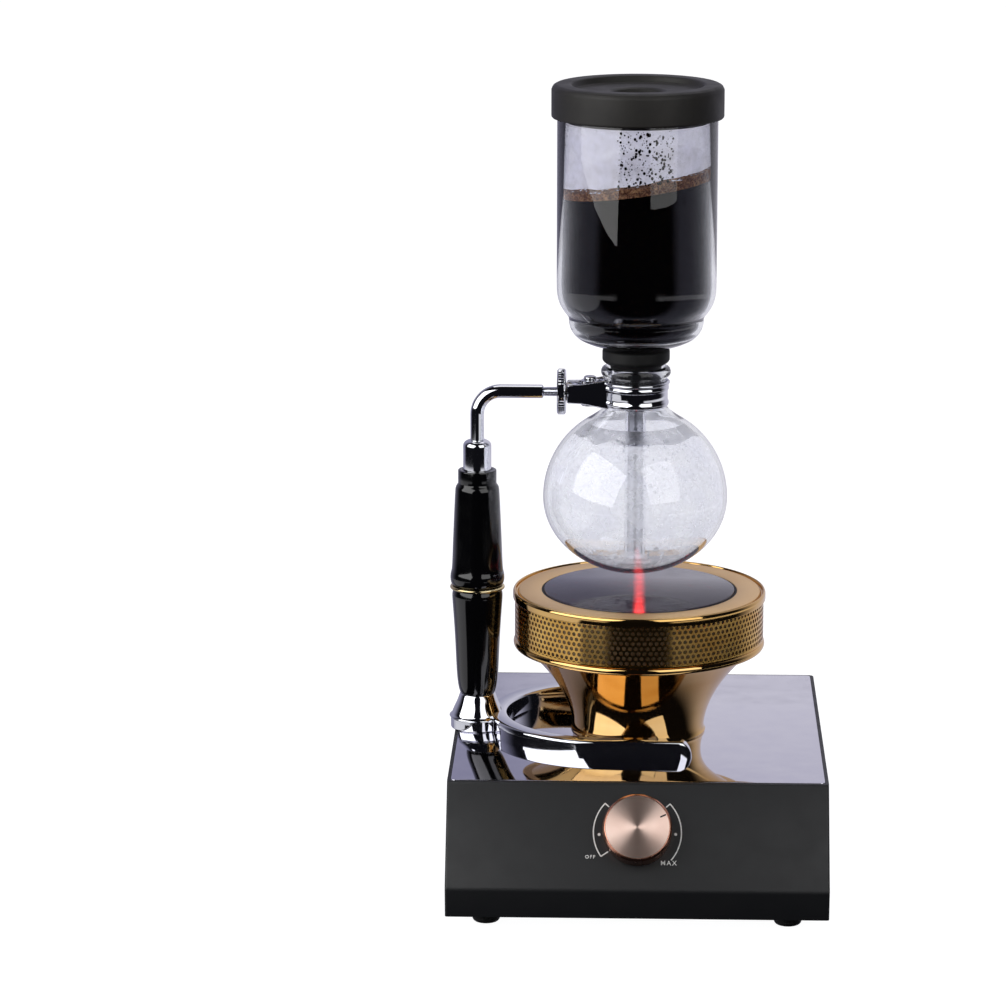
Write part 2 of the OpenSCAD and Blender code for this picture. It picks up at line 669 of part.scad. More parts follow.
// One jaw, drawn at the back and mirrored for the front: a tail round the wedge, a cheek past the
// pivot, a knuckle on the pivot and half of the collar. "low" and "high" are the knuckle's faces.
module jaw(low, high)
    difference() {
        union() {
            at_head(arm_z - 5) translate([-tail_x[0], tail_y[0], 0])
                cube([tail_x[0] - tail_x[1], tail_y[1] - tail_y[0], 10]);
            at_head(arm_z - 5) translate([-tail_x[0], cheek_y, 0])
                cube([tail_x[0] - pivot_x + 5, tail_y[1] - cheek_y, 10]);
            at_head(jaw_low) translate([-pivot_x - 4, cheek_y, 0])
                cube([pivot_x + 4 - cheek_x, tail_y[1] - cheek_y, jaw_top - jaw_low]);
            at_pivot(low) cylinder(r = knuckle_r, h = high - low);
            at_pivot(low) translate([-3.4, 0, 0]) cube([6.8, cheek_y + 1, high - low]);
            intersection() {
                at_glass() turned([[collar_r - collar_t, collar_z[0]], [collar_r, collar_z[0]],
                    [collar_r, collar_z[0] + 3.4], [collar_r - 0.4, collar_z[0] + 4.4],
                    [collar_r - 0.4, collar_z[1] - 6], [collar_r, collar_z[1] - 5],
                    [collar_r, collar_z[1]], [collar_r - collar_t, collar_z[1]]]);
                at_glass(collar_z[0] - cut) translate([-40, 0.5, 0]) cube([80, 40, 20]);
            }
            // ear that joins the cheek to the collar
            intersection() {
                at_head(jaw_low + 0.3) translate([-pivot_x + 6, 1.2, 0]) cube([7, 6, 13]);
                at_glass(jaw_low) ring(collar_r - collar_t / 2, 24, 20);
            }
        }
        at_head(arm_z) translate([-tail_x[0] - cut, 0, 0]) rotate([0, 90, 0])
            cylinder(r1 = 5.6, r2 = 3.4, h = 5.4);
        at_head(arm_z) translate([-tail_x[0], 0, 0]) rotate([0, 90, 0]) cylinder(r = 3.5, h = 8.6);
        at_pivot(arm_z - 20) cylinder(r = 1.75 + fit, h = 40);
    }

module front_jaw()
    color([0.8, 0.8, 0.82]) translate([0, 2 * head_y, 0]) mirror([0, 1, 0])
        jaw(arm_z + eye_h / 2 + gap, jaw_top);

module back_jaw()
    color([0.8, 0.8, 0.82]) jaw(jaw_low, arm_z - eye_h / 2 - gap);

// ---- glassware ----

// Outside of the bulb, or its inside when "inset" is the glass thickness.
function bulb_side(inset) =
    let (r = bulb_r - inset, b = bulb_b - inset)
    concat(
        [for (a = [-90 : 7.5 : -7.5]) [r * cos(a), bulb_z + b * sin(a)]],
        [for (a = [0 : 6 : 60]) [r * cos(a), bulb_z + r * sin(a)]],
        [[19.8 - inset * 0.8, 167.6 - inset * 0.4], [17.2 - inset, 169.8 - inset * 0.2],
         [neck_r + 0.2 - inset, neck_z], [neck_r - inset, neck_z + 2]]);

module lower_bulb() {
    inner = bulb_side(glass_t);
    color([0.85, 0.9, 0.95, 0.35]) at_glass() turned(concat(
        bulb_side(0),
        [[neck_r, lip_z - 6], [lip_r - 0.6, lip_z - 4.6], [lip_r, lip_z - 2.7], [lip_r - 0.5, lip_z - 0.8],
         [lip_r - 1.6, lip_z], [neck_r - glass_t + 0.8, lip_z], [neck_r - glass_t, lip_z - 1]],
        [for (i = [len(inner) - 1 : -1 : 0]) inner[i]]));
}

// Outside of the upper chamber from its stem to its mouth, or its inside.
function chamber_side(inset) =
    let (r = chamber_r - inset)
    [[stem_r - (inset > 0 ? 1.5 : 0), inset > 0 ? well_z + 1.4 : well_z - 1], [16, well_z + inset * 0.9],
     [23, 204.4 + inset], [29.4, 207.2 + inset], [32.8 - inset * 0.7, 210.6 + inset * 0.7],
     [34.3 - inset, 214.5], [34.6 - inset, 218.2], [37 - inset, 221.3], [39.4 - inset, 225.2],
     [r - 0.3, 230], [r, 238], [r, chamber_top - 1]];

module upper_chamber() {
    inner = chamber_side(glass_t);
    color([0.88, 0.9, 0.95, 0.35]) at_glass() turned(concat(
        [[stem_r - 1.5, stem_z], [stem_r, stem_z]], chamber_side(0),
        [[chamber_r - 0.6, chamber_top], [chamber_r - glass_t + 0.6, chamber_top]],
        [for (i = [len(inner) - 1 : -1 : 0]) inner[i]]));
}

module stem_stopper()
    color([0.08, 0.08, 0.08]) at_glass() turned([[stem_r + 0.02, 178.5], [11.4, 178.5], [12, 179.5],
        [13.1, lip_z - 1], [13.2, lip_z + 0.4], [16.6, 194.9], [17.3, 196], [17.3, stopper_top - 1],
        [16.6, stopper_top - 0.2], [stem_r + 0.02, stopper_top - 0.2]]);

module lid() {
    base = lid_top - skirt_h;
    recess = lid_top - 3.6;
    color([0.16, 0.15, 0.13]) at_glass() turned([
        [socket_r - 3, recess - 9], [socket_r - 1.4, recess - 3], [socket_r, recess - 0.8],
        [socket_r + 1.4, recess], [31, recess], [32.4, recess + 0.6], [33.4, lid_top - 0.6],
        [34.4, lid_top], [lid_r - 2.6, lid_top], [lid_r - 1, lid_top - 0.9], [lid_r, lid_top - 2.6],
        [lid_r, base + 0.6], [lid_r - 0.6, base], [lid_r - 2.2, base], [lid_r - 2.2, recess - 2.6],
        [chamber_r - glass_t - 0.5, recess - 2.6], [chamber_r - glass_t - 0.8, base - 2],
        [chamber_r - glass_t - 2.4, base - 2], [chamber_r - glass_t - 2.6, recess - 2.6],
        [socket_r + 1.6, recess - 2.6], [socket_r + 0.4, recess - 4], [socket_r - 1, recess - 11],
        [0, recess - 11], [0, recess - 9]]);
}

module filter_disc()
    color([0.75, 0.75, 0.76]) at_glass(filter_z) difference() {
        turned([[0, 0.6], [3, 0], [filter_r, 0], [filter_r, 2.6], [5, 2.6], [4, 4], [0, 4]]);
        for (n = [6, 12], k = [0 : n - 1]) rotate([0, 0, 360 * k / n]) translate([n * 1.5 + 1, 0, -cut])
            cylinder(r = 1.4, h = 6, $fn = 24);
    }

module filter_cloth()
    color([0.8, 0.68, 0.5]) at_glass(filter_z - 0.5) turned([[4.5, 0], [filter_r + 0.8, 0],
        [filter_r + 0.8, 3.7], [5.2, 3.7], [5.2, 3.15], [filter_r + 0.1, 3.15], [filter_r + 0.1, 0.45],
        [4.5, 0.45]]);

module filter_spring()
    color([0.7, 0.7, 0.7]) at_glass(186) for (i = [0 : 11]) translate([0, 0, i * 1.7])
        rotate_extrude() translate([2.6, 0]) circle(r = 0.45, $fn = 16);

module bead_chain() {
    hook_z = stem_z - 1.6;
    color([0.75, 0.75, 0.75]) at_glass() {
        for (z = [stem_z + 6 : 3.2 : filter_z - 2]) translate([0, 0, z]) sphere(r = 1.1, $fn = 24);
        translate([0, 0, stem_z]) cylinder(r = 0.4, h = filter_z - stem_z + 0.3, $fn = 16);
        // hook under the end of the stem
        translate([0, 0, stem_z - 2]) cylinder(r = 0.6, h = 6, $fn = 24);
        translate([-0.6, -0.6, hook_z - 1]) cube([8, 1.2, 1.2]);
        translate([6.8, 0, hook_z - 1]) cylinder(r = 0.6, h = 6, $fn = 24);
    }
}

housing();
top_plate();
base_pan();
pan_screws();
rubber_feet();
foot_screws();
knob();
knob_grub_screw();
pot_shaft();
pot_body();
pot_nut();
dimmer_board();
board_standoffs();
board_screws();
heat_sink();
triac();
filter_choke();
film_capacitor();
terminal_block();
power_inlet();
inlet_pins();
inlet_screws();
lamp_leads();
power_leads();
control_leads();
funnel();
throat_nut();
bead_ring();
mesh_band();
heat_liner();
rim_ring();
glass_disc();
disc_gasket();
reflector_bowl();
quartz_lamp();
lamp_filament();
lamp_caps();
lamp_brackets();
stand_foot();
foot_nut();
bell_cap();
tie_rod();
lower_grip();
grip_ring();
upper_grip();
ferrule();
arm_rod();
clamp_nut();
clamp_wedge();
front_jaw();
back_jaw();
pivot_screw();
lower_bulb();
upper_chamber();
stem_stopper();
lid();
filter_disc();
filter_cloth();
filter_spring();
bead_chain();
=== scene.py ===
"""Looks of a siphon coffee maker on its beam heater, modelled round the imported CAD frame.

Sizes are in millimetres and heights are measured from the heater's mirror plate, except where a comment says
otherwise. Every place is worked out from the frame's own nodes.
"""
import json
import logging
import math
import random
from collections.abc import Callable, Iterable, Iterator
from contextlib import contextmanager
from dataclasses import dataclass
from enum import Enum

import bmesh
import bpy
from mathutils import Matrix, Quaternion, Vector, noise

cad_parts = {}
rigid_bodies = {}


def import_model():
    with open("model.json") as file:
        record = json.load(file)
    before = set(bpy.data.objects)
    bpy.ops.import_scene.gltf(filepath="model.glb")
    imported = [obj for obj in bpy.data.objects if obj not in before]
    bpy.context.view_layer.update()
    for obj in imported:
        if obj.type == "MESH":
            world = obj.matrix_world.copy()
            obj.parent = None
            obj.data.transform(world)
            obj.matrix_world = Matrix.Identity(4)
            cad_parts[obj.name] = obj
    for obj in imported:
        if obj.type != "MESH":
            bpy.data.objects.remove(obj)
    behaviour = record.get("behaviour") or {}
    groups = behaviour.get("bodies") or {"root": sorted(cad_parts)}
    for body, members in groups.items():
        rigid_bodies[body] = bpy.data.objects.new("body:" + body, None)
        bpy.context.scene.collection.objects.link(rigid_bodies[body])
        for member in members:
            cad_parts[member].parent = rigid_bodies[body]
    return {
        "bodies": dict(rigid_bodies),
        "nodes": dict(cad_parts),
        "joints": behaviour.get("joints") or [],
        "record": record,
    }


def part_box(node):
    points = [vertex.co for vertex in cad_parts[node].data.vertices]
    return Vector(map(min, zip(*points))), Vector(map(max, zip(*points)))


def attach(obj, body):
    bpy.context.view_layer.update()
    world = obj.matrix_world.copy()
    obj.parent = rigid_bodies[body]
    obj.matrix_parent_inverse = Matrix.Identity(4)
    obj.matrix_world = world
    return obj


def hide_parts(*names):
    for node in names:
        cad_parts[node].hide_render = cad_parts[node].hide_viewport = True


MM = 0.001
UP = Vector((0, 0, 1))
WELD = 0.00001          # vertices closer than this are one, in metres
FULL_TURN = 360.0
AROUND = 96             # steps of a turned piece

Outline = list[tuple[float, float]]
Piece = bpy.types.Object
Tree = bpy.types.NodeTree
Socket = bpy.types.NodeSocket

log = logging.getLogger("siphon")


# ---- outlines, in millimetres ----

def arc(centre: tuple[float, float], radius: tuple[float, float], start: float, end: float,
        steps: int) -> Outline:
    """Points on an elliptical arc of an outline.

    Args:
        centre: the middle of the arc.
        radius: its two half-widths, outward and upward.
        start: first angle in degrees, from the outward direction.
        end: last angle in degrees.
        steps: how many stretches it has.

    Returns:
        The points, with both ends.
    """
    turns = [math.radians(start + (end - start) * i / steps) for i in range(steps + 1)]
    return [(centre[0] + radius[0] * math.cos(a), centre[1] + radius[1] * math.sin(a)) for a in turns]


def flowing(points: Outline, steps: int = 4) -> Outline:
    """A smooth curve through a few points.

    Args:
        points: the points that the curve passes through.
        steps: stretches between each two of them.

    Returns:
        The points of the curve.
    """
    ends = [Vector(points[0])] + [Vector(p) for p in points] + [Vector(points[-1])]
    curve = []
    for a, b, c, d in zip(ends, ends[1:], ends[2:], ends[3:]):
        for i in range(steps):
            t = i / steps
            curve.append(tuple(0.5 * (2 * b + (c - a) * t + (2 * a - 5 * b + 4 * c - d) * t**2
                                      + (3 * b - a - 3 * c + d) * t**3)))
    return curve + [tuple(points[-1])]


def eased(points: Outline, radius: float, steps: int = 3) -> Outline:
    """A closed outline whose corners are rounded.

    Args:
        points: the corners, without the first one again at the end.
        radius: how far along each side a corner's curve starts, at most a third of the side.
        steps: stretches of each curve.

    Returns:
        The points, and the first one again at the end.
    """
    corners = [Vector(p) for p in points]
    result = []
    for i, corner in enumerate(corners):
        before, after = corners[i - 1] - corner, corners[(i + 1) % len(corners)] - corner
        a = corner + before.normalized() * min(radius, before.length / 3)
        b = corner + after.normalized() * min(radius, after.length / 3)
        for k in range(steps + 1):
            t = k / steps
            result.append(tuple((1 - t)**2 * a + 2 * t * (1 - t) * corner + t**2 * b))
    return result + result[:1]


# ---- modelling ----

def alone(piece: Piece) -> None:
    """Selects one piece and nothing else."""
    bpy.ops.object.select_all(action="DESELECT")
    piece.select_set(True)
    bpy.context.view_layer.objects.active = piece


@contextmanager
def editing(piece: Piece, kind: str = "VERT") -> Iterator[None]:
    """Edit mode on one piece.

    Args:
        piece: the piece.
        kind: what its selection is made of: VERT, EDGE or FACE.
    """
    alone(piece)
    bpy.ops.object.mode_set(mode="EDIT")
    bpy.ops.mesh.select_mode(type=kind)
    yield
    bpy.ops.object.mode_set(mode="OBJECT")


def pick(piece: Piece, kind: str,
         test: Callable[[bmesh.types.BMVert | bmesh.types.BMEdge | bmesh.types.BMFace], bool]
         ) -> None:
    """Selects what passes a test on the piece in edit mode.

    Args:
        piece: the piece in edit mode.
        kind: VERT, EDGE or FACE.
        test: says whether a vertex, edge or face is wanted.
    """
    bpy.ops.mesh.select_mode(type=kind)
    bpy.ops.mesh.select_all(action="DESELECT")
    mesh = bmesh.from_edit_mesh(piece.data)
    for element in {"VERT": mesh.verts, "EDGE": mesh.edges, "FACE": mesh.faces}[kind]:
        if test(element):
            element.select_set(True)
    mesh.select_flush_mode()
    bmesh.update_edit_mesh(piece.data)


def primitive(name: str, adder: Callable[..., set[str]], **settings: object) -> Piece:
    """Adds a primitive and names it.

    Args:
        name: the new piece's name.
        adder: a bpy.ops.mesh primitive operator.
        settings: its sizes and place.

    Returns:
        The new piece.
    """
    bpy.ops.object.select_all(action="DESELECT")
    adder(**settings)
    piece = bpy.context.object
    piece.name = piece.data.name = name
    return piece


def settle(piece: Piece, place: Matrix | None = None) -> Piece:
    """Puts a piece at a place and applies it to the mesh.

    Args:
        piece: the piece.
        place: where it goes, or None to keep where it is.

    Returns:
        The piece, with its object at the origin.
    """
    bpy.context.view_layer.update()
    if place is not None:
        piece.matrix_world = place @ piece.matrix_world
    alone(piece)
    bpy.ops.object.transform_apply(location=True, rotation=True, scale=True)
    return piece


def modify(piece: Piece, kind: str, **settings: object) -> Piece:
    """Adds a modifier and applies it.

    Args:
        piece: the piece.
        kind: the modifier's type.
        settings: its properties.

    Returns:
        The piece.
    """
    alone(piece)
    modifier = piece.modifiers.new(kind.lower(), kind)
    for key, value in settings.items():
        setattr(modifier, key, value)
    bpy.ops.object.modifier_apply(modifier=modifier.name)
    return piece


def join(name: str, pieces: Iterable[Piece]) -> Piece:
    """Joins pieces into one.

    Args:
        name: the name of the whole.
        pieces: what it is made of.

    Returns:
        The joined piece.
    """
    pieces = list(pieces)
    alone(pieces[0])
    for piece in pieces[1:]:
        piece.select_set(True)
    if len(pieces) > 1:
        bpy.ops.object.join()
    pieces[0].name = pieces[0].data.name = name
    return pieces[0]


def copies(name: str, pattern: Piece, places: Iterable[Matrix]) -> Piece:
    """Copies a pattern piece to many places, each copy with its own mesh, and joins the copies.

    Args:
        name: the name of the whole.
        pattern: the piece that is repeated. It is used up.
        places: where the copies go.

    Returns:
        The joined copies.
    """
    twins = []
    for place in places:
        twin = pattern.copy()
        twin.data = pattern.data.copy()
        bpy.context.collection.objects.link(twin)
        twin.matrix_world = place
        twins.append(twin)
    bpy.data.objects.remove(pattern)
    whole = join(name, twins)
    return settle(whole)


def drawn(name: str, points: list[Vector]) -> Piece:
    """A line of edges: a plane is merged to one vertex, which is then extruded from point to point.

    Args:
        name: the piece's name.
        points: the places in metres.

    Returns:
        The line.
    """
    piece = primitive(name, bpy.ops.mesh.primitive_plane_add, size=MM)
    with editing(piece):
        bpy.ops.mesh.select_all(action="SELECT")
        bpy.ops.mesh.merge(type="CENTER")
        bpy.ops.transform.translate(value=points[0])
        for here, there in zip(points, points[1:]):
            bpy.ops.mesh.extrude_region_move(TRANSFORM_OT_translate={"value": there - here})
    return piece


def turned(name: str, outline: Outline, axis: Vector = Vector(), steps: int = AROUND, sweep: float = FULL_TURN
           ) -> Piece:
    """An outline spun round a vertical axis.

    Args:
        name: the piece's name.
        outline: points of radius and height in millimetres, closed or with both ends on the axis.
        axis: the axis at height zero, in metres.
        steps: faces round the axis.
        sweep: degrees that it is spun through.

    Returns:
        The turned piece, with its faces outward.
    """
    piece = drawn(name, [axis + Vector((r, 0, z)) * MM for r, z in outline])
    with editing(piece):
        bpy.ops.mesh.select_all(action="SELECT")
        bpy.ops.mesh.spin(steps=steps, angle=-math.radians(sweep), center=axis, axis=UP)
        bpy.ops.mesh.select_all(action="SELECT")
        bpy.ops.mesh.remove_doubles(threshold=WELD)
        bpy.ops.mesh.normals_make_consistent(inside=False)
    return piece


def coil(name: str, radius: float, wire: float, pitch: float, turns: int, steps: int = 20) -> Piece:
    """A helix of wire that rises from the origin.

    Args:
        name: the piece's name.
        radius: from the axis to the middle of the wire.
        wire: the wire's radius.
        pitch: rise of each turn.
        turns: how many turns it has.
        steps: steps of each turn.

    Returns:
        The coil.
    """
    piece = primitive(name, bpy.ops.mesh.primitive_circle_add, vertices=8, radius=wire * MM,
                      location=(radius * MM, 0, 0), rotation=(math.pi / 2, 0, 0))
    settle(piece)
    modify(piece, "SCREW", angle=math.tau * turns, screw_offset=pitch * turns * MM, steps=steps * turns,
           render_steps=steps * turns, use_merge_vertices=False)
    with editing(piece, "EDGE"):
        pick(piece, "EDGE", lambda e: e.is_boundary)
        bpy.ops.mesh.edge_face_add()
        bpy.ops.mesh.select_all(action="SELECT")
        bpy.ops.mesh.normals_make_consistent(inside=False)
    return piece


def cut_away(piece: Piece, cutter: Piece) -> Piece:
    """Cuts a shape out of a piece and removes the cutter."""
    modify(piece, "BOOLEAN", operation="DIFFERENCE", object=cutter, solver="EXACT")
    bpy.data.objects.remove(cutter)
    return piece


def block(name: str, low: Vector, high: Vector, bevel: float = 0.0) -> Piece:
    """A box with eased edges.

    Args:
        name: the piece's name.
        low: its lowest corner in metres.
        high: its highest corner in metres.
        bevel: width of its edges' rounding in millimetres.

    Returns:
        The block.
    """
    piece = primitive(name, bpy.ops.mesh.primitive_cube_add, size=1, location=(low + high) / 2,
                      scale=high - low)
    settle(piece)
    if bevel:
        with editing(piece, "EDGE"):
            bpy.ops.mesh.select_all(action="SELECT")
            bpy.ops.mesh.bevel(offset=bevel * MM, segments=3, profile=0.5)
    return piece


# ---- finishes ----

def linear(code: str) -> tuple[float, float, float, float]:
    """Linear colour of an sRGB hex code such as #c0ffee."""
    parts = [int(code[i:i + 2], 16) / 255 for i in (1, 3, 5)]
    return (*[c / 12.92 if c <= 0.04045 else ((c + 0.055) / 1.055)**2.4 for c in parts], 1.0)


def per_mm(size: float) -> float:
    """Scale of a pattern whose features are that many millimetres wide."""
    return 1 / (size * MM)


def add_node(tree: Tree, kind: str, inputs: dict[str | int, object] | None = None, **settings: object
             ) -> bpy.types.Node:
    """Adds one shader node.

    Args:
        tree: the node tree.
        kind: the node's type.
        inputs: its inputs by name or number, each a value or the socket that it is linked from.
        settings: its own properties.

    Returns:
        The node.
    """
    node = tree.nodes.new(kind)
    for key, value in settings.items():
        setattr(node, key, value)
    for key, value in (inputs or {}).items():
        if isinstance(value, bpy.types.NodeSocket):
            tree.links.new(value, node.inputs[key])
        else:
            node.inputs[key].default_value = value
    return node


class Grain(Enum):
    """How a surface was worked, as the stretch of its marks along X, Y and Z."""

    EVEN = (1.0, 1.0, 1.0)
    BRUSHED_X = (0.04, 1.0, 1.0)
    TURNED = (0.15, 0.15, 1.0)
    LAPPED = (1.0, 1.0, 0.1)


@dataclass(frozen=True)
class Finish:
    """A solid surface: its colour, its gloss, and the marks that its making left.

    The hue drifts a little between two colours, the roughness between two values, and the marks stand as bump.
    """

    name: str
    colour: str
    second: str
    roughness: tuple[float, float]
    metallic: float = 0.0
    grain: Grain = Grain.EVEN
    mark: float = 0.6         # width of the marks
    depth: float = 0.0        # their height
    drift: float = 12.0       # size of the patches of colour and gloss
    ior: float = 1.5
    coat: float = 0.0
    glow: str = ""
    strength: float = 0.0

    def material(self) -> bpy.types.Material:
        """The material, made once."""
        known = bpy.data.materials.get(self.name)
        if known:
            return known
        material = bpy.data.materials.new(self.name)
        material.use_nodes = True
        tree = material.node_tree
        shader = tree.nodes["Principled BSDF"]
        self.dress(tree, shader)
        return material

    def patches(self, tree: Tree, size: float, low: float, high: float) -> Socket:
        """Soft patches on the piece's own coordinates: a noise whose usual span is spread over a range.

        Args:
            tree: the node tree.
            size: width of the patches.
            low: value of the faintest patches.
            high: value of the strongest ones.

        Returns:
            The patches' value.
        """
        noisy = self.noisy(tree, size, detail=3.0)
        return add_node(tree, "ShaderNodeMapRange", {"Value": noisy, "From Min": 0.3, "From Max": 0.7,
                                                     "To Min": low, "To Max": high}).outputs[0]

    def noisy(self, tree: Tree, size: float, detail: float) -> Socket:
        """Noise whose features are stretched as the surface's grain is.

        Args:
            tree: the node tree.
            size: width of its features.
            detail: its octaves.

        Returns:
            The noise value.
        """
        place = add_node(tree, "ShaderNodeTexCoord").outputs["Object"]
        stretched = add_node(tree, "ShaderNodeMapping", {"Vector": place, "Scale": self.grain.value})
        return add_node(tree, "ShaderNodeTexNoise", {"Vector": stretched.outputs[0], "Scale": per_mm(size),
                                                     "Detail": detail}).outputs[0]

    def dress(self, tree: Tree, shader: bpy.types.Node) -> None:
        """Sets and links the shader's inputs.

        Args:
            tree: the node tree.
            shader: its principled shader.
        """
        share = self.patches(tree, self.drift, 0, 1)
        hue = add_node(tree, "ShaderNodeMix", {0: share, 6: linear(self.colour), 7: linear(self.second)},
                       data_type="RGBA")
        tree.links.new(hue.outputs[2], shader.inputs["Base Color"])
        tree.links.new(self.patches(tree, self.drift, *self.roughness), shader.inputs["Roughness"])
        shader.inputs["Metallic"].default_value = self.metallic
        if not self.metallic:
            shader.inputs["IOR"].default_value = self.ior
        shader.inputs["Coat Weight"].default_value = self.coat
        if self.depth:
            self.raise_marks(tree, shader, self.noisy(tree, self.mark, detail=2.0))
        if self.glow:
            shader.inputs["Emission Color"].default_value = linear(self.glow)
            shader.inputs["Emission Strength"].default_value = self.strength

    def raise_marks(self, tree: Tree, shader: bpy.types.Node, height: Socket) -> None:
        """Stands a pattern out of the surface by the finish's depth.

        Args:
            tree: the node tree.
            shader: its principled shader.
            height: the pattern's value.
        """
        bump = add_node(tree, "ShaderNodeBump", {"Height": height, "Distance": self.depth * MM})
        tree.links.new(bump.outputs[0], shader.inputs["Normal"])


@dataclass(frozen=True)
class ClearFinish(Finish):
    """Something that light passes through: glass, water or quartz."""

    def dress(self, tree: Tree, shader: bpy.types.Node) -> None:
        """Adds transmission to the plain finish."""
        super().dress(tree, shader)
        shader.inputs["Transmission Weight"].default_value = 1.0


@dataclass(frozen=True)
class HazeFinish(Finish):
    """A film of droplets too small to see one by one: it passes part of the light, and the light that it would
    scatter is painted on as an even glow.
    """

    cover: tuple[float, float] = (0.2, 0.42)     # share of the light scattered, thin and thick places
    painted_glow: float = 0.68                        # strength of the glow painted on in place of the scattered light
    patch: float = 6.0                           # width of those places

    def dress(self, tree: Tree, shader: bpy.types.Node) -> None:
        """Adds the painted glow that stands in for the scattered light, and the film's share of cover in soft
        patches.
        """
        super().dress(tree, shader)
        tree.links.new(self.patches(tree, self.patch, *self.cover), shader.inputs["Alpha"])
        # painted glow: the film gives out light of its own colour in place of the studio light that it would
        # scatter
        shader.inputs["Emission Color"].default_value = linear(self.colour)
        shader.inputs["Emission Strength"].default_value = self.painted_glow


@dataclass(frozen=True)
class HeaterGlassFinish(ClearFinish):
    """Dark glass ceramic over the lamp, with the lamp's light painted into it as a glowing red streak from
    front to back.
    """

    streak: float = 2.8          # half of its width
    bright: tuple[float, float] = (1.7, 0.5)     # painted glow at the front edge, and at the back
    reach: tuple[float, float] = (-39.0, 22.0)   # from front to back

    def dress(self, tree: Tree, shader: bpy.types.Node) -> None:
        """Adds the streak as a painted glow, which fades sideways and towards the back."""
        super().dress(tree, shader)
        shader.inputs["Transmission Weight"].default_value = 0.45     # the ceramic is milky
        place = add_node(tree, "ShaderNodeTexCoord").outputs["Object"]
        split = add_node(tree, "ShaderNodeSeparateXYZ", {0: place})
        waver = self.patches(tree, 5.0, 0.75, 1.2)
        off = add_node(tree, "ShaderNodeMath", {0: split.outputs[0]}, operation="ABSOLUTE")
        side = add_node(tree, "ShaderNodeMapRange", {"Value": off.outputs[0],
                                                     "From Min": self.streak * 1.5 * MM,
                                                     "From Max": 0.0}, interpolation_type="SMOOTHERSTEP")
        along = add_node(tree, "ShaderNodeMapRange", {
            "Value": split.outputs[1], "From Min": self.reach[0] * MM, "From Max": self.reach[1] * MM,
            "To Min": 1.0, "To Max": 0.0})
        fade = add_node(tree, "ShaderNodeMath", {0: along.outputs[0], 1: 3.0}, operation="POWER")
        level = add_node(tree, "ShaderNodeMapRange", {"Value": fade.outputs[0], "To Min": self.bright[1],
                                                      "To Max": self.bright[0]})
        share = add_node(tree, "ShaderNodeMath", {0: side.outputs[0], 1: level.outputs[0]},
                         operation="MULTIPLY")
        glow = add_node(tree, "ShaderNodeMath", {0: share.outputs[0], 1: waver}, operation="MULTIPLY")
        # painted light: the glass itself glows red where the lamp's light would show through it
        shader.inputs["Emission Color"].default_value = linear("#ff3a36")
        tree.links.new(glow.outputs[0], shader.inputs["Emission Strength"])


@dataclass(frozen=True)
class SpunFinish(Finish):
    """Metal faced on a lathe: fine rings that spread a highlight across them, drawn on the piece's own UV map,
    where U is the distance from the axis and V the turn about it."""

    ring: float = 0.25

    def dress(self, tree: Tree, shader: bpy.types.Node) -> None:
        """Adds the rings and their direction to the plain finish."""
        super().dress(tree, shader)
        place = add_node(tree, "ShaderNodeUVMap", uv_map="turned")
        split = add_node(tree, "ShaderNodeSeparateXYZ", {0: place.outputs[0]})
        rings = add_node(tree, "ShaderNodeTexNoise", {"W": split.outputs[0], "Scale": 1 / self.ring,
                                                      "Detail": 3.0},
                         noise_dimensions="1D")
        self.raise_marks(tree, shader, rings.outputs[0])
        tangent = add_node(tree, "ShaderNodeTangent", direction_type="UV_MAP", uv_map="turned")
        tree.links.new(tangent.outputs[0], shader.inputs["Tangent"])
        shader.inputs["Anisotropic"].default_value = 0.95


@dataclass(frozen=True)
class FoamFinish(Finish):
    """Coffee crust: bubbles of mixed sizes whose walls are paler than their hollows."""

    bubble: float = 1.1

    def dress(self, tree: Tree, shader: bpy.types.Node) -> None:
        """Draws the bubbles as cells in colour and height."""
        super().dress(tree, shader)
        place = add_node(tree, "ShaderNodeTexCoord").outputs["Object"]
        cells = add_node(tree, "ShaderNodeTexVoronoi", {"Vector": place, "Scale": per_mm(self.bubble)})
        wall = add_node(tree, "ShaderNodeMapRange", {"Value": cells.outputs["Distance"], "From Min": 0.1,
                                                     "From Max": 0.75})
        grain = add_node(tree, "ShaderNodeTexNoise", {"Vector": place, "Scale": per_mm(2.4), "Detail": 4.0})
        patchy = add_node(tree, "ShaderNodeMapRange", {"Value": grain.outputs[0], "From Min": 0.3,
                                                       "From Max": 0.7,
                                                       "To Max": 1.2})
        share = add_node(tree, "ShaderNodeMath", {0: wall.outputs[0], 1: patchy.outputs[0]},
                         operation="MULTIPLY",
                         use_clamp=True)
        hue = add_node(tree, "ShaderNodeMix", {0: share.outputs[0], 6: linear(self.colour),
                                               7: linear(self.second)},
                       data_type="RGBA")
        tree.links.new(hue.outputs[2], shader.inputs["Base Color"])
        self.raise_marks(tree, shader, wall.outputs[0])


@dataclass(frozen=True)
class WovenFinish(Finish):
    """Cloth: two sets of threads that cross at right angles."""

    thread: float = 0.6

    def dress(self, tree: Tree, shader: bpy.types.Node) -> None:
        """Draws the threads in colour and height."""
        super().dress(tree, shader)
        place = add_node(tree, "ShaderNodeTexCoord").outputs["Object"]
        weave = [add_node(tree, "ShaderNodeTexWave", {"Vector": place, "Scale": per_mm(self.thread) / 6.3},
                          bands_direction=way).outputs[1] for way in "XY"]
        height = add_node(tree, "ShaderNodeMath", {0: weave[0], 1: weave[1]}, operation="MULTIPLY")
        hue = add_node(tree, "ShaderNodeMix", {0: height.outputs[0], 6: linear(self.second),
                                               7: linear(self.colour)},
                       data_type="RGBA")
        tree.links.new(hue.outputs[2], shader.inputs["Base Color"])
        self.raise_marks(tree, shader, height.outputs[0])


# Chromium plating over polished steel: a mirror with only a breath of haze.
CHROME = Finish("chromium_plate", "#e4e5ea", "#d8d9e0", (0.03, 0.07), 1.0, depth=0.004, mark=18)
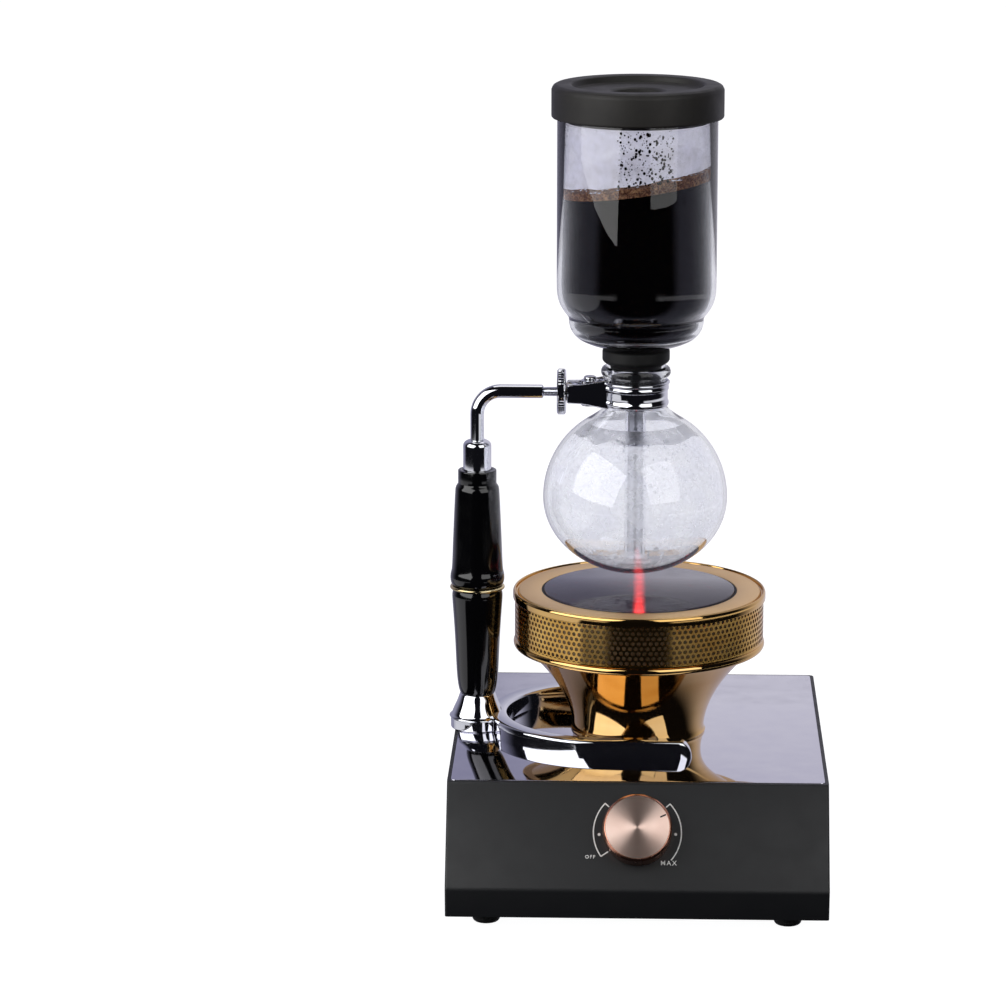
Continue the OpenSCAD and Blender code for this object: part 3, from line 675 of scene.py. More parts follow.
# Brass plated in light gold and polished: warm mirror, slightly wavy from spinning.
GOLD_POLISH = Finish("polished_gold_plate", "#dfb878", "#d2a560", (0.03, 0.09), 1.0, grain=Grain.TURNED,
                     depth=0.01, mark=9)
# The same plating on punched sheet, a little yellower and duller.
GOLD_MESH = Finish("gold_plated_punched_sheet", "#e0b768", "#cf9f52", (0.10, 0.18), 1.0)
# Gold anodising on turned aluminium: satin, paler than the plating.
GOLD_SATIN = Finish("satin_champagne_anodising", "#f3cd8f", "#e9c183", (0.34, 0.42), 1.0, grain=Grain.TURNED,
                    mark=0.4, depth=0.006)
# Mirror-polished stainless sheet: reflects the room with a cool cast.
MIRROR_STEEL = Finish("mirror_polished_stainless", "#d2d1da", "#cbcad6", (0.03, 0.06), 1.0, depth=0.002,
                      mark=30)
# Copper-coloured anodised aluminium faced on a lathe.
ROSE_FACE = SpunFinish("lathe_faced_rose_aluminium", "#f6dcd0", "#eed0c2", (0.50, 0.54), 1.0, depth=0.003)
# The same metal on the knob's side, where the knurling dulls it.
ROSE_EDGE = Finish("knurled_rose_aluminium", "#d9a18a", "#c98e76", (0.18, 0.3), 1.0)
# Baked black enamel on folded steel: satin, with a faint orange peel.
BLACK_ENAMEL = Finish("baked_black_enamel", "#17181b", "#131417", (0.42, 0.5), depth=0.012, mark=1.6)
# Phenolic resin, moulded and polished: deep gloss black.
PHENOLIC = Finish("polished_black_phenolic", "#060608", "#040405", (0.07, 0.14), depth=0.006, mark=14,
                  coat=0.3)
# Polypropylene with a fine spark texture: dull brown-black.
LID_PLASTIC = Finish("spark_textured_polypropylene", "#211e1b", "#1a1816", (0.5, 0.6), depth=0.02, mark=0.5)
# Borosilicate glass, blown: clear, with faint waves.
BLOWN_GLASS = ClearFinish("blown_borosilicate_glass", "#f6f7fb", "#f0f1f8", (0.0, 0.02), ior=1.47, depth=0.004,
                          mark=24)
# Infrared-passing glass ceramic: dark violet, lets the lamp's red through.
HEATER_GLASS = HeaterGlassFinish("violet_glass_ceramic", "#5f5a68", "#57525f", (0.03, 0.06), ior=1.33)
# Quartz tube with a ruby coating: clear red, and lit from inside.
RUBY_QUARTZ = ClearFinish("ruby_coated_quartz", "#ff5a50", "#ff4a40", (0.02, 0.05), ior=1.46, glow="#ff1c14",
                          strength=0.3)
# Tungsten at a dull heat: orange-red light.
FILAMENT = Finish("glowing_tungsten", "#ff9060", "#ff8050", (0.4, 0.5), glow="#ff4a28", strength=6.0)
# Water: colourless and clear, a drop bends what is behind it.
WATER = ClearFinish("water", "#ffffff", "#fbfdff", (0.0, 0.01), ior=1.33)
# Steam breathed on the bulb: a thin white veil, with a painted glow for the light that it scatters.
HAZE = HazeFinish("breath_of_steam", "#e6e6e8", "#dcdce0", (0.5, 0.6), ior=1.1)
# Steam on the chamber, which is cooler: a thicker, greyer veil, with a painted glow for the light that it
# scatters.
STEAM = HazeFinish("steam_on_cool_glass", "#d2d1da", "#c6c5d0", (0.5, 0.6), ior=1.1, cover=(0.5, 0.85),
                   painted_glow=0.5)
# Drops just large enough to blur what is behind them.
MIST = ClearFinish("condensed_mist", "#f4f4f4", "#e6e6e8", (0.22, 0.4), ior=1.33, drift=5, depth=0.05,
                   mark=0.7)
# Strong coffee: black, with a wet gloss.
COFFEE = Finish("brewed_coffee", "#070302", "#0a0503", (0.04, 0.08), ior=1.34)
# Black-brown specks on the glass, coloured like coffee: painted shade for drops that look dark on the front of
# the chamber.
SPECK_SHADE = Finish("painted_shade_coffee_specks", "#120b08", "#1e130d", (0.15, 0.3), ior=1.34)
# Foam of fresh grounds: brown hollows with tan walls.
FOAM = FoamFinish("coffee_crust", "#5c2c16", "#d09a6c", (0.5, 0.7), depth=0.6)
# Screen ink: flat white.
PRINT = Finish("white_screen_print", "#f2f2f0", "#e8e8e6", (0.5, 0.6))
# Paint in the knob's groove: flat black.
BLACK_PRINT = Finish("black_filled_groove", "#1a1512", "#241c18", (0.5, 0.6))
# Drawn stainless steel: plain grey metal with a soft shine.
STEEL = Finish("drawn_stainless_steel", "#b9bac0", "#a9aab0", (0.18, 0.3), 1.0, depth=0.004)
# Nickel plate: warmer and darker than chromium.
NICKEL = Finish("nickel_plated_brass", "#bdb6aa", "#aca598", (0.15, 0.28), 1.0)
# Brass polished bright: pale yellow metal.
BRASS = Finish("polished_ring_brass", "#e2d0a4", "#d6c290", (0.08, 0.16), 1.0)
# Zinc-dipped sheet: dull grey with a spangle.
GALVANISED = Finish("galvanised_sheet", "#9a9da2", "#80848a", (0.32, 0.5), 1.0, drift=7)
# Aluminium that the lamp has browned: a dull tan metal.
LINER = Finish("heat_browned_aluminium_liner", "#b9a58c", "#8f7c66", (0.35, 0.45), 0.8)
# Hammered sheet plated in gold: many small highlights.
REFLECTOR = Finish("hammered_gold_reflector", "#caa35e", "#bd9550", (0.12, 0.2), 1.0, depth=0.15, mark=4)
# Extruded aluminium: fine lines along its length.
ALUMINIUM = Finish("extruded_aluminium", "#a9abae", "#999b9f", (0.3, 0.4), 1.0, grain=Grain.LAPPED, depth=0.01)
# Silicone: soft, dull black.
SILICONE = Finish("black_silicone_rubber", "#0c0c0d", "#101011", (0.55, 0.7), depth=0.02, mark=0.8)
# Neoprene: dull black with mould grain.
FOOT_RUBBER = Finish("moulded_neoprene", "#0b0b0c", "#121213", (0.6, 0.75), depth=0.03, mark=1.0)
# Bakelite: brown-black, half dull.
BAKELITE = Finish("brown_bakelite", "#2a2426", "#221d1f", (0.4, 0.5), depth=0.01)
# Solder mask over copper: green with faint tracks.
BOARD = Finish("green_circuit_board", "#1d5a37", "#17472c", (0.35, 0.5), drift=4, depth=0.03, mark=2)
# Nylon in its own colour: cream, half dull.
NYLON = Finish("natural_nylon", "#d8cfae", "#cfc5a2", (0.45, 0.55))
# Filled epoxy: flat black.
EPOXY = Finish("black_epoxy", "#121214", "#18181a", (0.5, 0.6), depth=0.01)
# Lacquered copper wire: copper with close ribs.
WINDING = Finish("enamelled_copper_wire", "#b5622c", "#9c4f20", (0.25, 0.35), 1.0, grain=Grain.BRUSHED_X,
                 depth=0.12,
                 mark=0.9)
# Dipped film capacitor: mustard yellow.
CAPACITOR = Finish("yellow_film_capacitor", "#c79a24", "#b98c1c", (0.4, 0.5))
# Steatite: off-white, unglazed.
STEATITE = Finish("steatite_ceramic", "#e6e0d2", "#d8d1c2", (0.45, 0.6), depth=0.02, mark=0.7)
# Glass-filled nylon: black with a fine grain.
NYLON_BLACK = Finish("black_glass_filled_nylon", "#131316", "#1a1a1d", (0.45, 0.55), depth=0.02, mark=0.6)
# Braided glass fibre: cream, drawn coarser than its real 0.3 mm thread so that it shows.
GLASS_SLEEVE = WovenFinish("glass_fibre_sleeve", "#d9d2c0", "#a79f8c", (0.6, 0.8), depth=0.1)
# Brown insulation: smooth and half dull.
WIRE_BROWN = Finish("brown_lead_insulation", "#4a3024", "#3e281e", (0.4, 0.5))
# Red insulation: smooth and half dull.
WIRE_RED = Finish("red_lead_insulation", "#9c1c1c", "#861616", (0.4, 0.5))
# Cotton flannel stained by coffee: tan cloth with a raised weave.
FILTER_CLOTH = WovenFinish("unbleached_cotton_flannel", "#cdb48a", "#8e7650", (0.8, 0.9), depth=0.2)

SLOT_FINISHES = {
    "black_enamel": BLACK_ENAMEL, "mirror_steel": MIRROR_STEEL, "galvanised": GALVANISED, "screw_steel": STEEL,
    "foot_rubber": FOOT_RUBBER, "rose_gold": ROSE_EDGE, "shaft_steel": STEEL, "pot_case": BAKELITE,
    "circuit_board": BOARD, "standoff_nylon": NYLON, "sink_aluminium": ALUMINIUM, "black_epoxy": EPOXY,
    "copper_winding": WINDING, "capacitor_case": CAPACITOR, "steatite": STEATITE, "inlet_plastic": NYLON_BLACK,
    "pin_plate": NICKEL, "glass_sleeve": GLASS_SLEEVE, "wire_brown": WIRE_BROWN, "wire_red": WIRE_RED,
    "gold_polish": GOLD_POLISH, "gold_mesh": GOLD_MESH, "liner_aluminium": LINER, "gold_satin": GOLD_SATIN,
    "heater_glass": HEATER_GLASS, "seal_black": SILICONE, "reflector": REFLECTOR, "quartz": RUBY_QUARTZ,
    "filament": FILAMENT, "chrome": CHROME, "brushed_nickel": NICKEL, "grip_black": PHENOLIC,
                 "ring_brass": BRASS,
    "clear_glass": BLOWN_GLASS, "stopper_rubber": SILICONE, "lid_plastic": LID_PLASTIC, "filter_steel": STEEL,
    "filter_cloth": FILTER_CLOTH,
}


# ---- the frame ----

@dataclass
class Frame:
    """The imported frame, and what the pieces need to know of it."""

    data: dict

    def __post_init__(self) -> None:
        """Looks up each node's body and slot."""
        record = self.data["record"]
        self.bodies = {n: b for b, group in record["behaviour"]["bodies"].items() for n in group}
        self.slots = {part["node"]: part["material_slot"] for part in record["subparts"]}
        self.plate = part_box("top_plate")[1].z
        self.used: set[str] = set()

    def box(self, node: str) -> tuple[Vector, Vector]:
        """Lowest and highest corner of a node, in metres."""
        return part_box(node)

    def axis(self, node: str) -> Vector:
        """The vertical axis through a node's middle, at the plate's height, in metres."""
        low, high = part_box(node)
        middle = (low + high) / 2
        return Vector((middle.x, middle.y, self.plate))

    def heights(self, node: str) -> tuple[float, float]:
        """A node's lowest and highest point above the plate, in millimetres."""
        low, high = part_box(node)
        return (low.z - self.plate) / MM, (high.z - self.plate) / MM

    def radius(self, node: str) -> float:
        """Half of a node's depth, in millimetres."""
        low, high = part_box(node)
        return (high.y - low.y) / 2 / MM

    def hand_over(self, piece: Piece, node: str, *others: str, finish: Finish | None = None,
                  extra: bool = False,
                  crease: float = 35.0) -> Piece:
        """Shades and dresses a finished piece, and fixes it to a node's body.

        Args:
            piece: the finished piece.
            node: the node that it stands for, or, for an extra piece, the node that it belongs to.
            others: more nodes that it stands for.
            finish: its finish, or None for the one of the node's slot.
            extra: True if the piece is one that the CAD model doesn't have.
            crease: edges sharper than this stay sharp, in degrees.

        Returns:
            The piece.
        """
        alone(piece)
        bpy.ops.object.shade_smooth_by_angle(angle=math.radians(crease))
        piece.data.materials.clear()
        piece.data.materials.append((finish or SLOT_FINISHES[self.slots[node]]).material())
        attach(piece, self.bodies[node])
        if not extra:
            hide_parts(node, *others)
            self.used.update((node, *others))
        log.info("%s: %d faces, on %s", piece.name, len(piece.data.polygons), self.bodies[node])
        return piece

    def dress_the_rest(self) -> None:
        """Gives each CAD node that stays in view its finish."""
        for name, node in self.data["nodes"].items():
            if name in self.used:
                continue
            material = SLOT_FINISHES[self.slots[name]].material()
            node.data.materials.clear()
            node.data.materials.append(material)
            log.info("%s: CAD node dressed in %s", name, material.name)


# ---- the heater's box ----

@dataclass
class HeaterBox:
    """Folded housing, mirror plate, feet and the printed scale round the knob."""

    frame: Frame
    panel_run: float = 29.0      # the slanted panel's depth
    panel_drop: float = 47.0     # and its height
    strip_set: float = 2.0       # the lower strip stands back from the crease by this
    edge: float = 1.7            # black edge round the mirror plate
    sheet: float = 0.8
    fold: float = 1.2            # outside radius of the folds
    corner: float = 3.0          # radius of the upright back corners
    scale_r: float = 21.9
    line: float = 0.62

    def build(self) -> None:
        """Makes the box's pieces."""
        self.housing()
        self.plate()
        self.feet()
        self.scale()

    def housing(self) -> None:
        """The housing: its side outline is extruded, beveled, opened below and given its sheet's thickness."""
        low, high = self.frame.box("housing")
        top = high.z
        front = low.y + self.panel_run * MM
        outline = [Vector((low.x, y, z)) for y, z in (
            (front, top), (low.y, top - self.panel_drop * MM), (low.y + self.strip_set * MM, low.z),
            (high.y, low.z), (high.y, top))]
        piece = drawn("housing", outline)
        with editing(piece):
            bpy.ops.mesh.select_all(action="SELECT")
            bpy.ops.mesh.edge_face_add()
            bpy.ops.mesh.extrude_region_move(TRANSFORM_OT_translate={"value": (high.x - low.x, 0, 0)})
            bpy.ops.mesh.select_all(action="SELECT")
            bpy.ops.mesh.normals_make_consistent(inside=False)
            pick(piece, "EDGE", lambda e: all(v.co.y > high.y - MM for v in e.verts)
                 and abs(e.verts[0].co.z - e.verts[1].co.z) > self.panel_drop * MM)
            bpy.ops.mesh.bevel(offset=self.corner * MM, segments=5, profile=0.5)
            pick(piece, "EDGE", lambda e: e.verts[0].co.y < front + MM and e.verts[1].co.y < front + MM
                 and max(v.co.z for v in e.verts) > low.z + MM)
            bpy.ops.mesh.bevel(offset=self.fold * MM, segments=3, profile=0.5)
            pick(piece, "FACE", lambda f: f.normal.z > 0.99)
            bpy.ops.mesh.inset(thickness=self.edge * MM)
            bpy.ops.mesh.extrude_region_move(TRANSFORM_OT_translate={"value": (0, 0, -self.edge * MM)})
            pick(piece, "FACE", lambda f: f.normal.z < -0.99)
            bpy.ops.mesh.delete(type="FACE")
        modify(piece, "SOLIDIFY", thickness=self.sheet * MM, offset=-1)
        low, high = self.frame.box("power_inlet")
        inset = Vector((11, 12, 2)) * MM
        cut_away(piece, block("inlet_opening", low + inset, high - Vector((inset.x, -inset.y, inset.z))))
        self.frame.hand_over(piece, "housing")

    def plate(self) -> None:
        """The mirror plate: a thin slab with polished edges and eased corners."""
        low, high = self.frame.box("top_plate")
        piece = block("top_plate", low, high)
        with editing(piece, "EDGE"):
            pick(piece, "EDGE", lambda e: abs(e.verts[0].co.z - e.verts[1].co.z) > 0.5 * MM)
            bpy.ops.mesh.bevel(offset=(self.corner - 0.8) * MM, segments=5, profile=0.5)
            pick(piece, "EDGE", lambda e: min(v.co.z for v in e.verts) > high.z - 0.1 * MM)
            bpy.ops.mesh.bevel(offset=0.35 * MM, segments=2, profile=0.5)
        self.frame.hand_over(piece, "top_plate")

    def feet(self) -> None:
        """Four domed rubber feet, each hollow round its screw. Heights are from the counter."""
        low, high = self.frame.box("rubber_feet")
        top = high.z / MM
        foot = turned("foot", eased([(3.7, 0.05), (3.7, 4.4), (2.3, 4.4), (2.3, top), (7, top), (7, 2.6)],
                                    0.1)[:-1]
                      + arc((4.9, 2.2), (2.1, 2.2), 0, -90, 6) + [(3.7, 0.05)], steps=40)
        reach = 7 * MM
        places = [Matrix.Translation((x, y, 0)) for x in (low.x + reach, high.x - reach)
                  for y in (low.y + reach, high.y - reach)]
        self.frame.hand_over(copies("rubber_feet", foot, places), "rubber_feet")

    def panel(self) -> Matrix:
        """The knob's place on the panel: local Z stands out of the panel and local Y runs up it."""
        joint = next(j for j in self.frame.data["joints"] if j["name"] == "knob_turn")
        out = Vector(joint["axis"]).normalized()
        along = Vector((1, 0, 0))
        turn = Matrix((along, out.cross(along), out)).transposed().to_4x4()
        return Matrix.Translation(joint["pos_m"]) @ turn

    def scale(self) -> None:
        """The printed scale: two arcs, their ticks, two dots and the words at the ends."""
        half = self.line / 2
        ink = 0.05
        inks = []
        for start, sweep in ((137.0, 77.5), (-40.0, 83.0)):
            ribbon = turned("ribbon", [(self.scale_r - half, ink), (self.scale_r + half, ink)], steps=40,
                            sweep=sweep)
            inks.append(settle(ribbon, Matrix.Rotation(math.radians(start), 4, "Z")))
        for angle, inner in ((214.5, 17.6), (137.6, 19.2), (42.4, 19.2)):
            tick = primitive("tick", bpy.ops.mesh.primitive_plane_add, size=1,
                             location=((inner + self.scale_r) / 2 * MM, 0, ink * MM))
            tick.scale = ((self.scale_r - inner) * MM, self.line * MM, 1)
            inks.append(settle(tick, Matrix.Rotation(math.radians(angle), 4, "Z")))
        for angle in (183.7, -2.4):
            dot = primitive("dot", bpy.ops.mesh.primitive_circle_add, vertices=20, radius=0.75 * MM,
                            fill_type="NGON", location=(19.1 * MM, 0, ink * MM))
            inks.append(settle(dot, Matrix.Rotation(math.radians(angle), 4, "Z")))
        for word, x, y, size, gap in (("OFF", -23.4, -12.8, 2.5, 1.3), ("MAX", 15.6, -15.6, 3.3, 1.3)):
            inks.append(self.word(word, x, y, size, gap, ink))
        piece = join("dial_print", inks)
        with editing(piece, "FACE"):
            bpy.ops.mesh.select_all(action="SELECT")
            bpy.ops.mesh.remove_doubles(threshold=WELD)
            pick(piece, "FACE", lambda f: f.normal.z < 0)
            bpy.ops.mesh.flip_normals()
            bpy.ops.mesh.select_all(action="SELECT")
            bpy.ops.mesh.extrude_region_move(TRANSFORM_OT_translate={"value": (0, 0, ink * MM)})
            bpy.ops.mesh.select_all(action="SELECT")
            bpy.ops.mesh.normals_make_consistent(inside=False)
        settle(piece, self.panel())
        self.frame.hand_over(piece, "housing", finish=PRINT, extra=True)

    def word(self, text: str, x: float, y: float, size: float, gap: float, height: float) -> Piece:
        """One printed word.

        Args:
            text: the word.
            x: its middle, to the right of the knob.
            y: its middle, up the panel from the knob.
            size: height of its type.
            gap: spacing of its letters.
            height: how far it is off the panel.

        Returns:
            The word as a flat mesh.
        """
        bpy.ops.object.select_all(action="DESELECT")
        bpy.ops.object.text_add(location=(x * MM, y * MM, height * MM))
        piece = bpy.context.object
        piece.data.body = text
        piece.data.size = size * MM
        piece.data.space_character = gap
        piece.data.align_x = piece.data.align_y = "CENTER"
        piece.data.resolution_u = 3
        piece.data.offset = 0.02 * MM
        bpy.ops.object.convert(target="MESH")
        return settle(bpy.context.object)


@dataclass
class ControlKnob:
    """The dimmer's knob: a lathe-faced cap with a knurled edge and a filled pointer groove."""

    frame: Frame
    place: Matrix
    radius: float = 17.25
    bottom: float = 0.8          # heights from the panel
    top: float = 10.8
    ridges: int = 84
    knurl: float = 0.22
    pointer: float = 25.0        # its turn at rest, in degrees

    def build(self) -> None:
        """Makes the knob's cap, its face and its pointer."""
        r, top, bottom = self.radius, self.top, self.bottom
        cap = turned("knob", eased([(r - 2.4, bottom), (r, bottom), (r, top - 1.2), (r - 1.0, top - 0.05),
                                    (r - 2.4, top - 0.1)], 0.25), steps=2 * self.ridges)
        with editing(cap):
            step = math.tau / (2 * self.ridges)
            pick(cap, "VERT", lambda v: math.hypot(v.co.x, v.co.y) > (r - 0.1) * MM
                 and bottom + 0.3 < v.co.z / MM < top - 1.3
                 and round(math.atan2(v.co.y, v.co.x) / step) % 2 == 0)
            shrink = 1 - self.knurl / r
            bpy.ops.transform.resize(value=(shrink, shrink, 1), center_override=(0, 0, 0))
        self.frame.hand_over(settle(cap, self.place), "knob")
        face = turned("knob_face", [(0, top), (r * 0.3, top - 0.03), (r * 0.6, top - 0.05),
                                    (r - 1.4, top - 0.06),
                                    (r - 1.6, top - 1.2), (8, top - 1.6), (0, top - 1.6)], steps=128)
        self.map_turns(face)
        self.frame.hand_over(settle(face, self.place), "knob", finish=ROSE_FACE, extra=True, crease=20)
        start = Vector((12.4, -0.42, top - 0.5)) * MM
        end = Vector((15.6, 0.42, top + 0.02)) * MM
        groove = settle(block("knob_pointer", start, end, 0.15),
                        Matrix.Rotation(math.radians(self.pointer), 4, "Z"))
        self.frame.hand_over(settle(groove, self.place), "knob", finish=BLACK_PRINT, extra=True)

    @staticmethod
    def map_turns(piece: Piece) -> None:
        """Gives a turned piece a UV map of its radius in millimetres and its turn."""
        layer = piece.data.uv_layers.new(name="turned")
        for face in piece.data.polygons:
            middle = math.atan2(face.center.y, face.center.x)
            for loop in face.loop_indices:
                spot = piece.data.vertices[piece.data.loops[loop].vertex_index].co
                turn = math.atan2(spot.y, spot.x)
                turn += math.tau * round((middle - turn) / math.tau)
                if math.hypot(spot.x, spot.y) < WELD:
                    turn = middle
                layer.data[loop].uv = (math.hypot(spot.x, spot.y) / MM, turn / math.tau)


# ---- the heater's head ----

@dataclass
class HeaterHead:
    """Funnel, bead, punched band, rim, glass disc with its seal, and the lamp; the liner under the lamp stays
    the CAD node.
    """

    frame: Frame
    foot_r: float = 34.0         # the funnel's foot on the plate
    flare: float = 1.9           # the power that the funnel's flare follows
    gauge: float = 1.2
    pitch: float = 3.0           # between the band's holes
    hole: float = 1.02           # their radius
    rows: int = 8
    row_step: float = 2.6
    low_row: float = 51.6
    skirt_z: float = 70.6        # lower edge of the rim's polished skirt
    groove: float = 63.0

    def build(self) -> None:
        """Makes the head's pieces."""
        self.axis = self.frame.axis("glass_disc")
        self.funnel()
        self.band()
        self.rim()
        self.glass()
        self.lamp()

    def funnel(self) -> None:
        """The spun funnel, with a small lip on the plate, and the rolled bead above it."""
        top, mouth = self.frame.heights("funnel")[1], self.frame.radius("funnel")
        side = [(self.foot_r + (mouth - self.foot_r) * (z / top)**self.flare, z)
                for z in (top * i / 26 for i in range(2, 27))]
        foot = [(self.foot_r - 3, 0.1), (self.foot_r + 0.9, 0.1), (self.foot_r + 1.0, 0.5),
                (self.foot_r + 0.6, 1.0), (self.foot_r + 0.3, 2.0)]
        inside = [(r - self.gauge, z) for r, z in side[::-1]] + [(self.foot_r - 3, 1.4)]
        piece = turned("funnel", foot + side + inside + foot[:1], self.axis, 144)
        self.frame.hand_over(piece, "funnel")
        r = self.frame.radius("bead_ring") - 1.6
        bead = turned("bead_ring", [(mouth - 3, top + 0.05), (r - 2.5, top + 0.05)]
                      + arc((r, top + 2), (1.6, 2), -80, 80, 10)
                      + [(r - 1, top + 4), (r - 2, top + 3.6), (r - 3, top + 1), (mouth - 3, top + 1),
                         (mouth - 3, top + 0.05)], self.axis, 144)
        self.frame.hand_over(bead, "bead_ring")

    def band(self) -> None:
        """The punched band: one hexagonal cell is repeated along and up, then bent to a full turn."""
        radius = self.frame.radius("mesh_band") - 0.1
        count = round(math.tau * radius / self.pitch)
        cell = primitive("cell", bpy.ops.mesh.primitive_circle_add, vertices=12, radius=self.pitch / 2 * MM)
        with editing(cell):
            corner_step = math.tau / 6
            pick(cell, "VERT", lambda v: round(math.atan2(v.co.x, v.co.y) / (corner_step / 2)) % 2 == 0)
            reach = 1 / math.cos(math.pi / 6)
            bpy.ops.transform.resize(value=(reach, reach, 1), center_override=(0, 0, 0))
            bpy.ops.mesh.select_all(action="DESELECT")
            bpy.ops.mesh.primitive_circle_add(vertices=12, radius=self.hole * MM)
            bpy.ops.mesh.select_all(action="SELECT")
            bpy.ops.mesh.bridge_edge_loops()
            bpy.ops.mesh.select_all(action="SELECT")
            bpy.ops.transform.rotate(value=math.pi / 2, orient_axis="X", center_override=(0, 0, 0))
        for offset, number in (((self.pitch / 2, 0, self.row_step), 2),
                               ((0, 0, 2 * self.row_step), self.rows // 2),
                               ((self.pitch, 0, 0), count)):
            modify(cell, "ARRAY", count=number, use_relative_offset=False, use_constant_offset=True,
                   constant_offset_displace=Vector(offset) * MM, use_merge_vertices=True,
                   merge_threshold=10 * WELD)
        width = cell.dimensions.x
        modify(cell, "SIMPLE_DEFORM", deform_method="BEND", deform_axis="Z",
               angle=math.tau * width / (count * self.pitch * MM))
        bent = count * self.pitch / math.tau
        settle(cell, Matrix.Translation(self.axis + Vector((0, 0, self.low_row * MM)))
               @ Matrix.Scale(radius / bent, 4, (1, 0, 0)) @ Matrix.Scale(radius / bent, 4, (0, 1, 0))
               @ Matrix.Translation((0, -bent * MM, 0)))
        with editing(cell):
            bpy.ops.mesh.select_all(action="SELECT")
            bpy.ops.mesh.remove_doubles(threshold=10 * WELD)
            bpy.ops.mesh.normals_make_consistent(inside=False)
        modify(cell, "SOLIDIFY", thickness=0.5 * MM, offset=-1)
        low, high = self.frame.heights("mesh_band")
        edges = [turned("selvedge", eased([(radius - 0.7, a), (radius - 0.08, a), (radius - 0.08, b),
                                           (radius - 0.7, b)], 0.1), self.axis, 144)
                 for a, b in ((low, self.low_row - 1.1), (high - 1.0, high + 0.4))]
        self.frame.hand_over(join("mesh_band", [cell, *edges]), "mesh_band", crease=30)

    def rim(self) -> None:
        """The rim: a satin ring round the glass, and the polished bead and skirt outside its groove."""
        top, outer = self.frame.heights("rim_ring")[1], self.frame.radius("rim_ring")
        inner = self.frame.radius("disc_gasket") + 0.05
        ring = turned("rim_ring", eased([(inner, top - 4), (inner, top - 0.4), (self.groove - 0.6, top - 0.4),
                                         (self.groove, top - 1.7), (self.groove, top - 4)], 0.35), self.axis,
                      144)
        self.frame.hand_over(ring, "rim_ring", crease=50)
        g = self.groove + 0.02
        bead = turned("rim_bead", eased([(g, top - 2.8), (g, top - 1.7), (g + 0.8, top - 1.7),
                                         (g + 1.1, top - 0.3),
                                         (g + 1.6, top), (g + 2.1, top - 0.3), (outer, top - 1.2),
                                         (outer, self.skirt_z + 0.1), (outer - 0.7, self.skirt_z),
                                         (outer - 0.7, top - 2.8)], 0.3), self.axis, 144)
        self.frame.hand_over(bead, "rim_ring", finish=GOLD_POLISH, extra=True, crease=50)

    def glass(self) -> None:
        """The heater's glass disc and the black seal in the gap round it."""
        low, high = self.frame.heights("glass_disc")
        r = self.frame.radius("glass_disc")
        disc = turned("glass_disc", [(0, low), (r - 0.5, low), (r, low + 0.5), (r, high - 0.6),
                                     (r - 0.2, high - 0.2),
                                     (r - 0.6, high), (0, high)], self.axis, 144)
        self.frame.hand_over(disc, "glass_disc")
        seal_low, seal_high = self.frame.heights("disc_gasket")
        outer = self.frame.radius("disc_gasket")
        seal = turned("disc_gasket", eased([(r - 2.5, seal_low), (outer, seal_low), (outer, seal_high),
                                            (r + 0.1, seal_high), (r + 0.1, low - 0.05),
                                            (r - 2.5, low - 0.05)],
                                           0.2), self.axis, 144)
        self.frame.hand_over(seal, "disc_gasket")

    def lamp(self) -> None:
        """The lamp's ruby tube and the coil that glows in it. Both lie front to back."""
        low, high = self.frame.box("quartz_lamp")
        middle = (low + high) / 2
        length = (high.y - low.y) / MM
        r = (high.z - low.z) / 2 / MM
        lying = Matrix.Translation(middle) @ Matrix.Rotation(math.pi / 2, 4, "X")
        end = length / 2
        tube = turned("quartz_lamp", [(0, -end)] + arc((r - 2, 2 - end), (2, 2), -90, 0, 4)
                      + arc((r - 2, end - 2), (2, 2), 0, 90, 4) + [(0, end), (0, end - 1)]
                      + arc((r - 2, end - 2), (1, 1), 90, 0, 4) + arc((r - 2, 2 - end), (1, 1), 0, -90, 4)
                      + [(0, 1 - end)], steps=48)
        self.frame.hand_over(settle(tube, lying), "quartz_lamp")
        turns = 30
        pitch = (length - 10) / turns
        wire = settle(coil("lamp_filament", 1.3, 0.28, pitch, turns, 12), Matrix.Translation(
            (0, 0, -pitch * turns / 2 * MM)))
        self.frame.hand_over(settle(wire, lying), "lamp_filament")


# ---- the stand ----

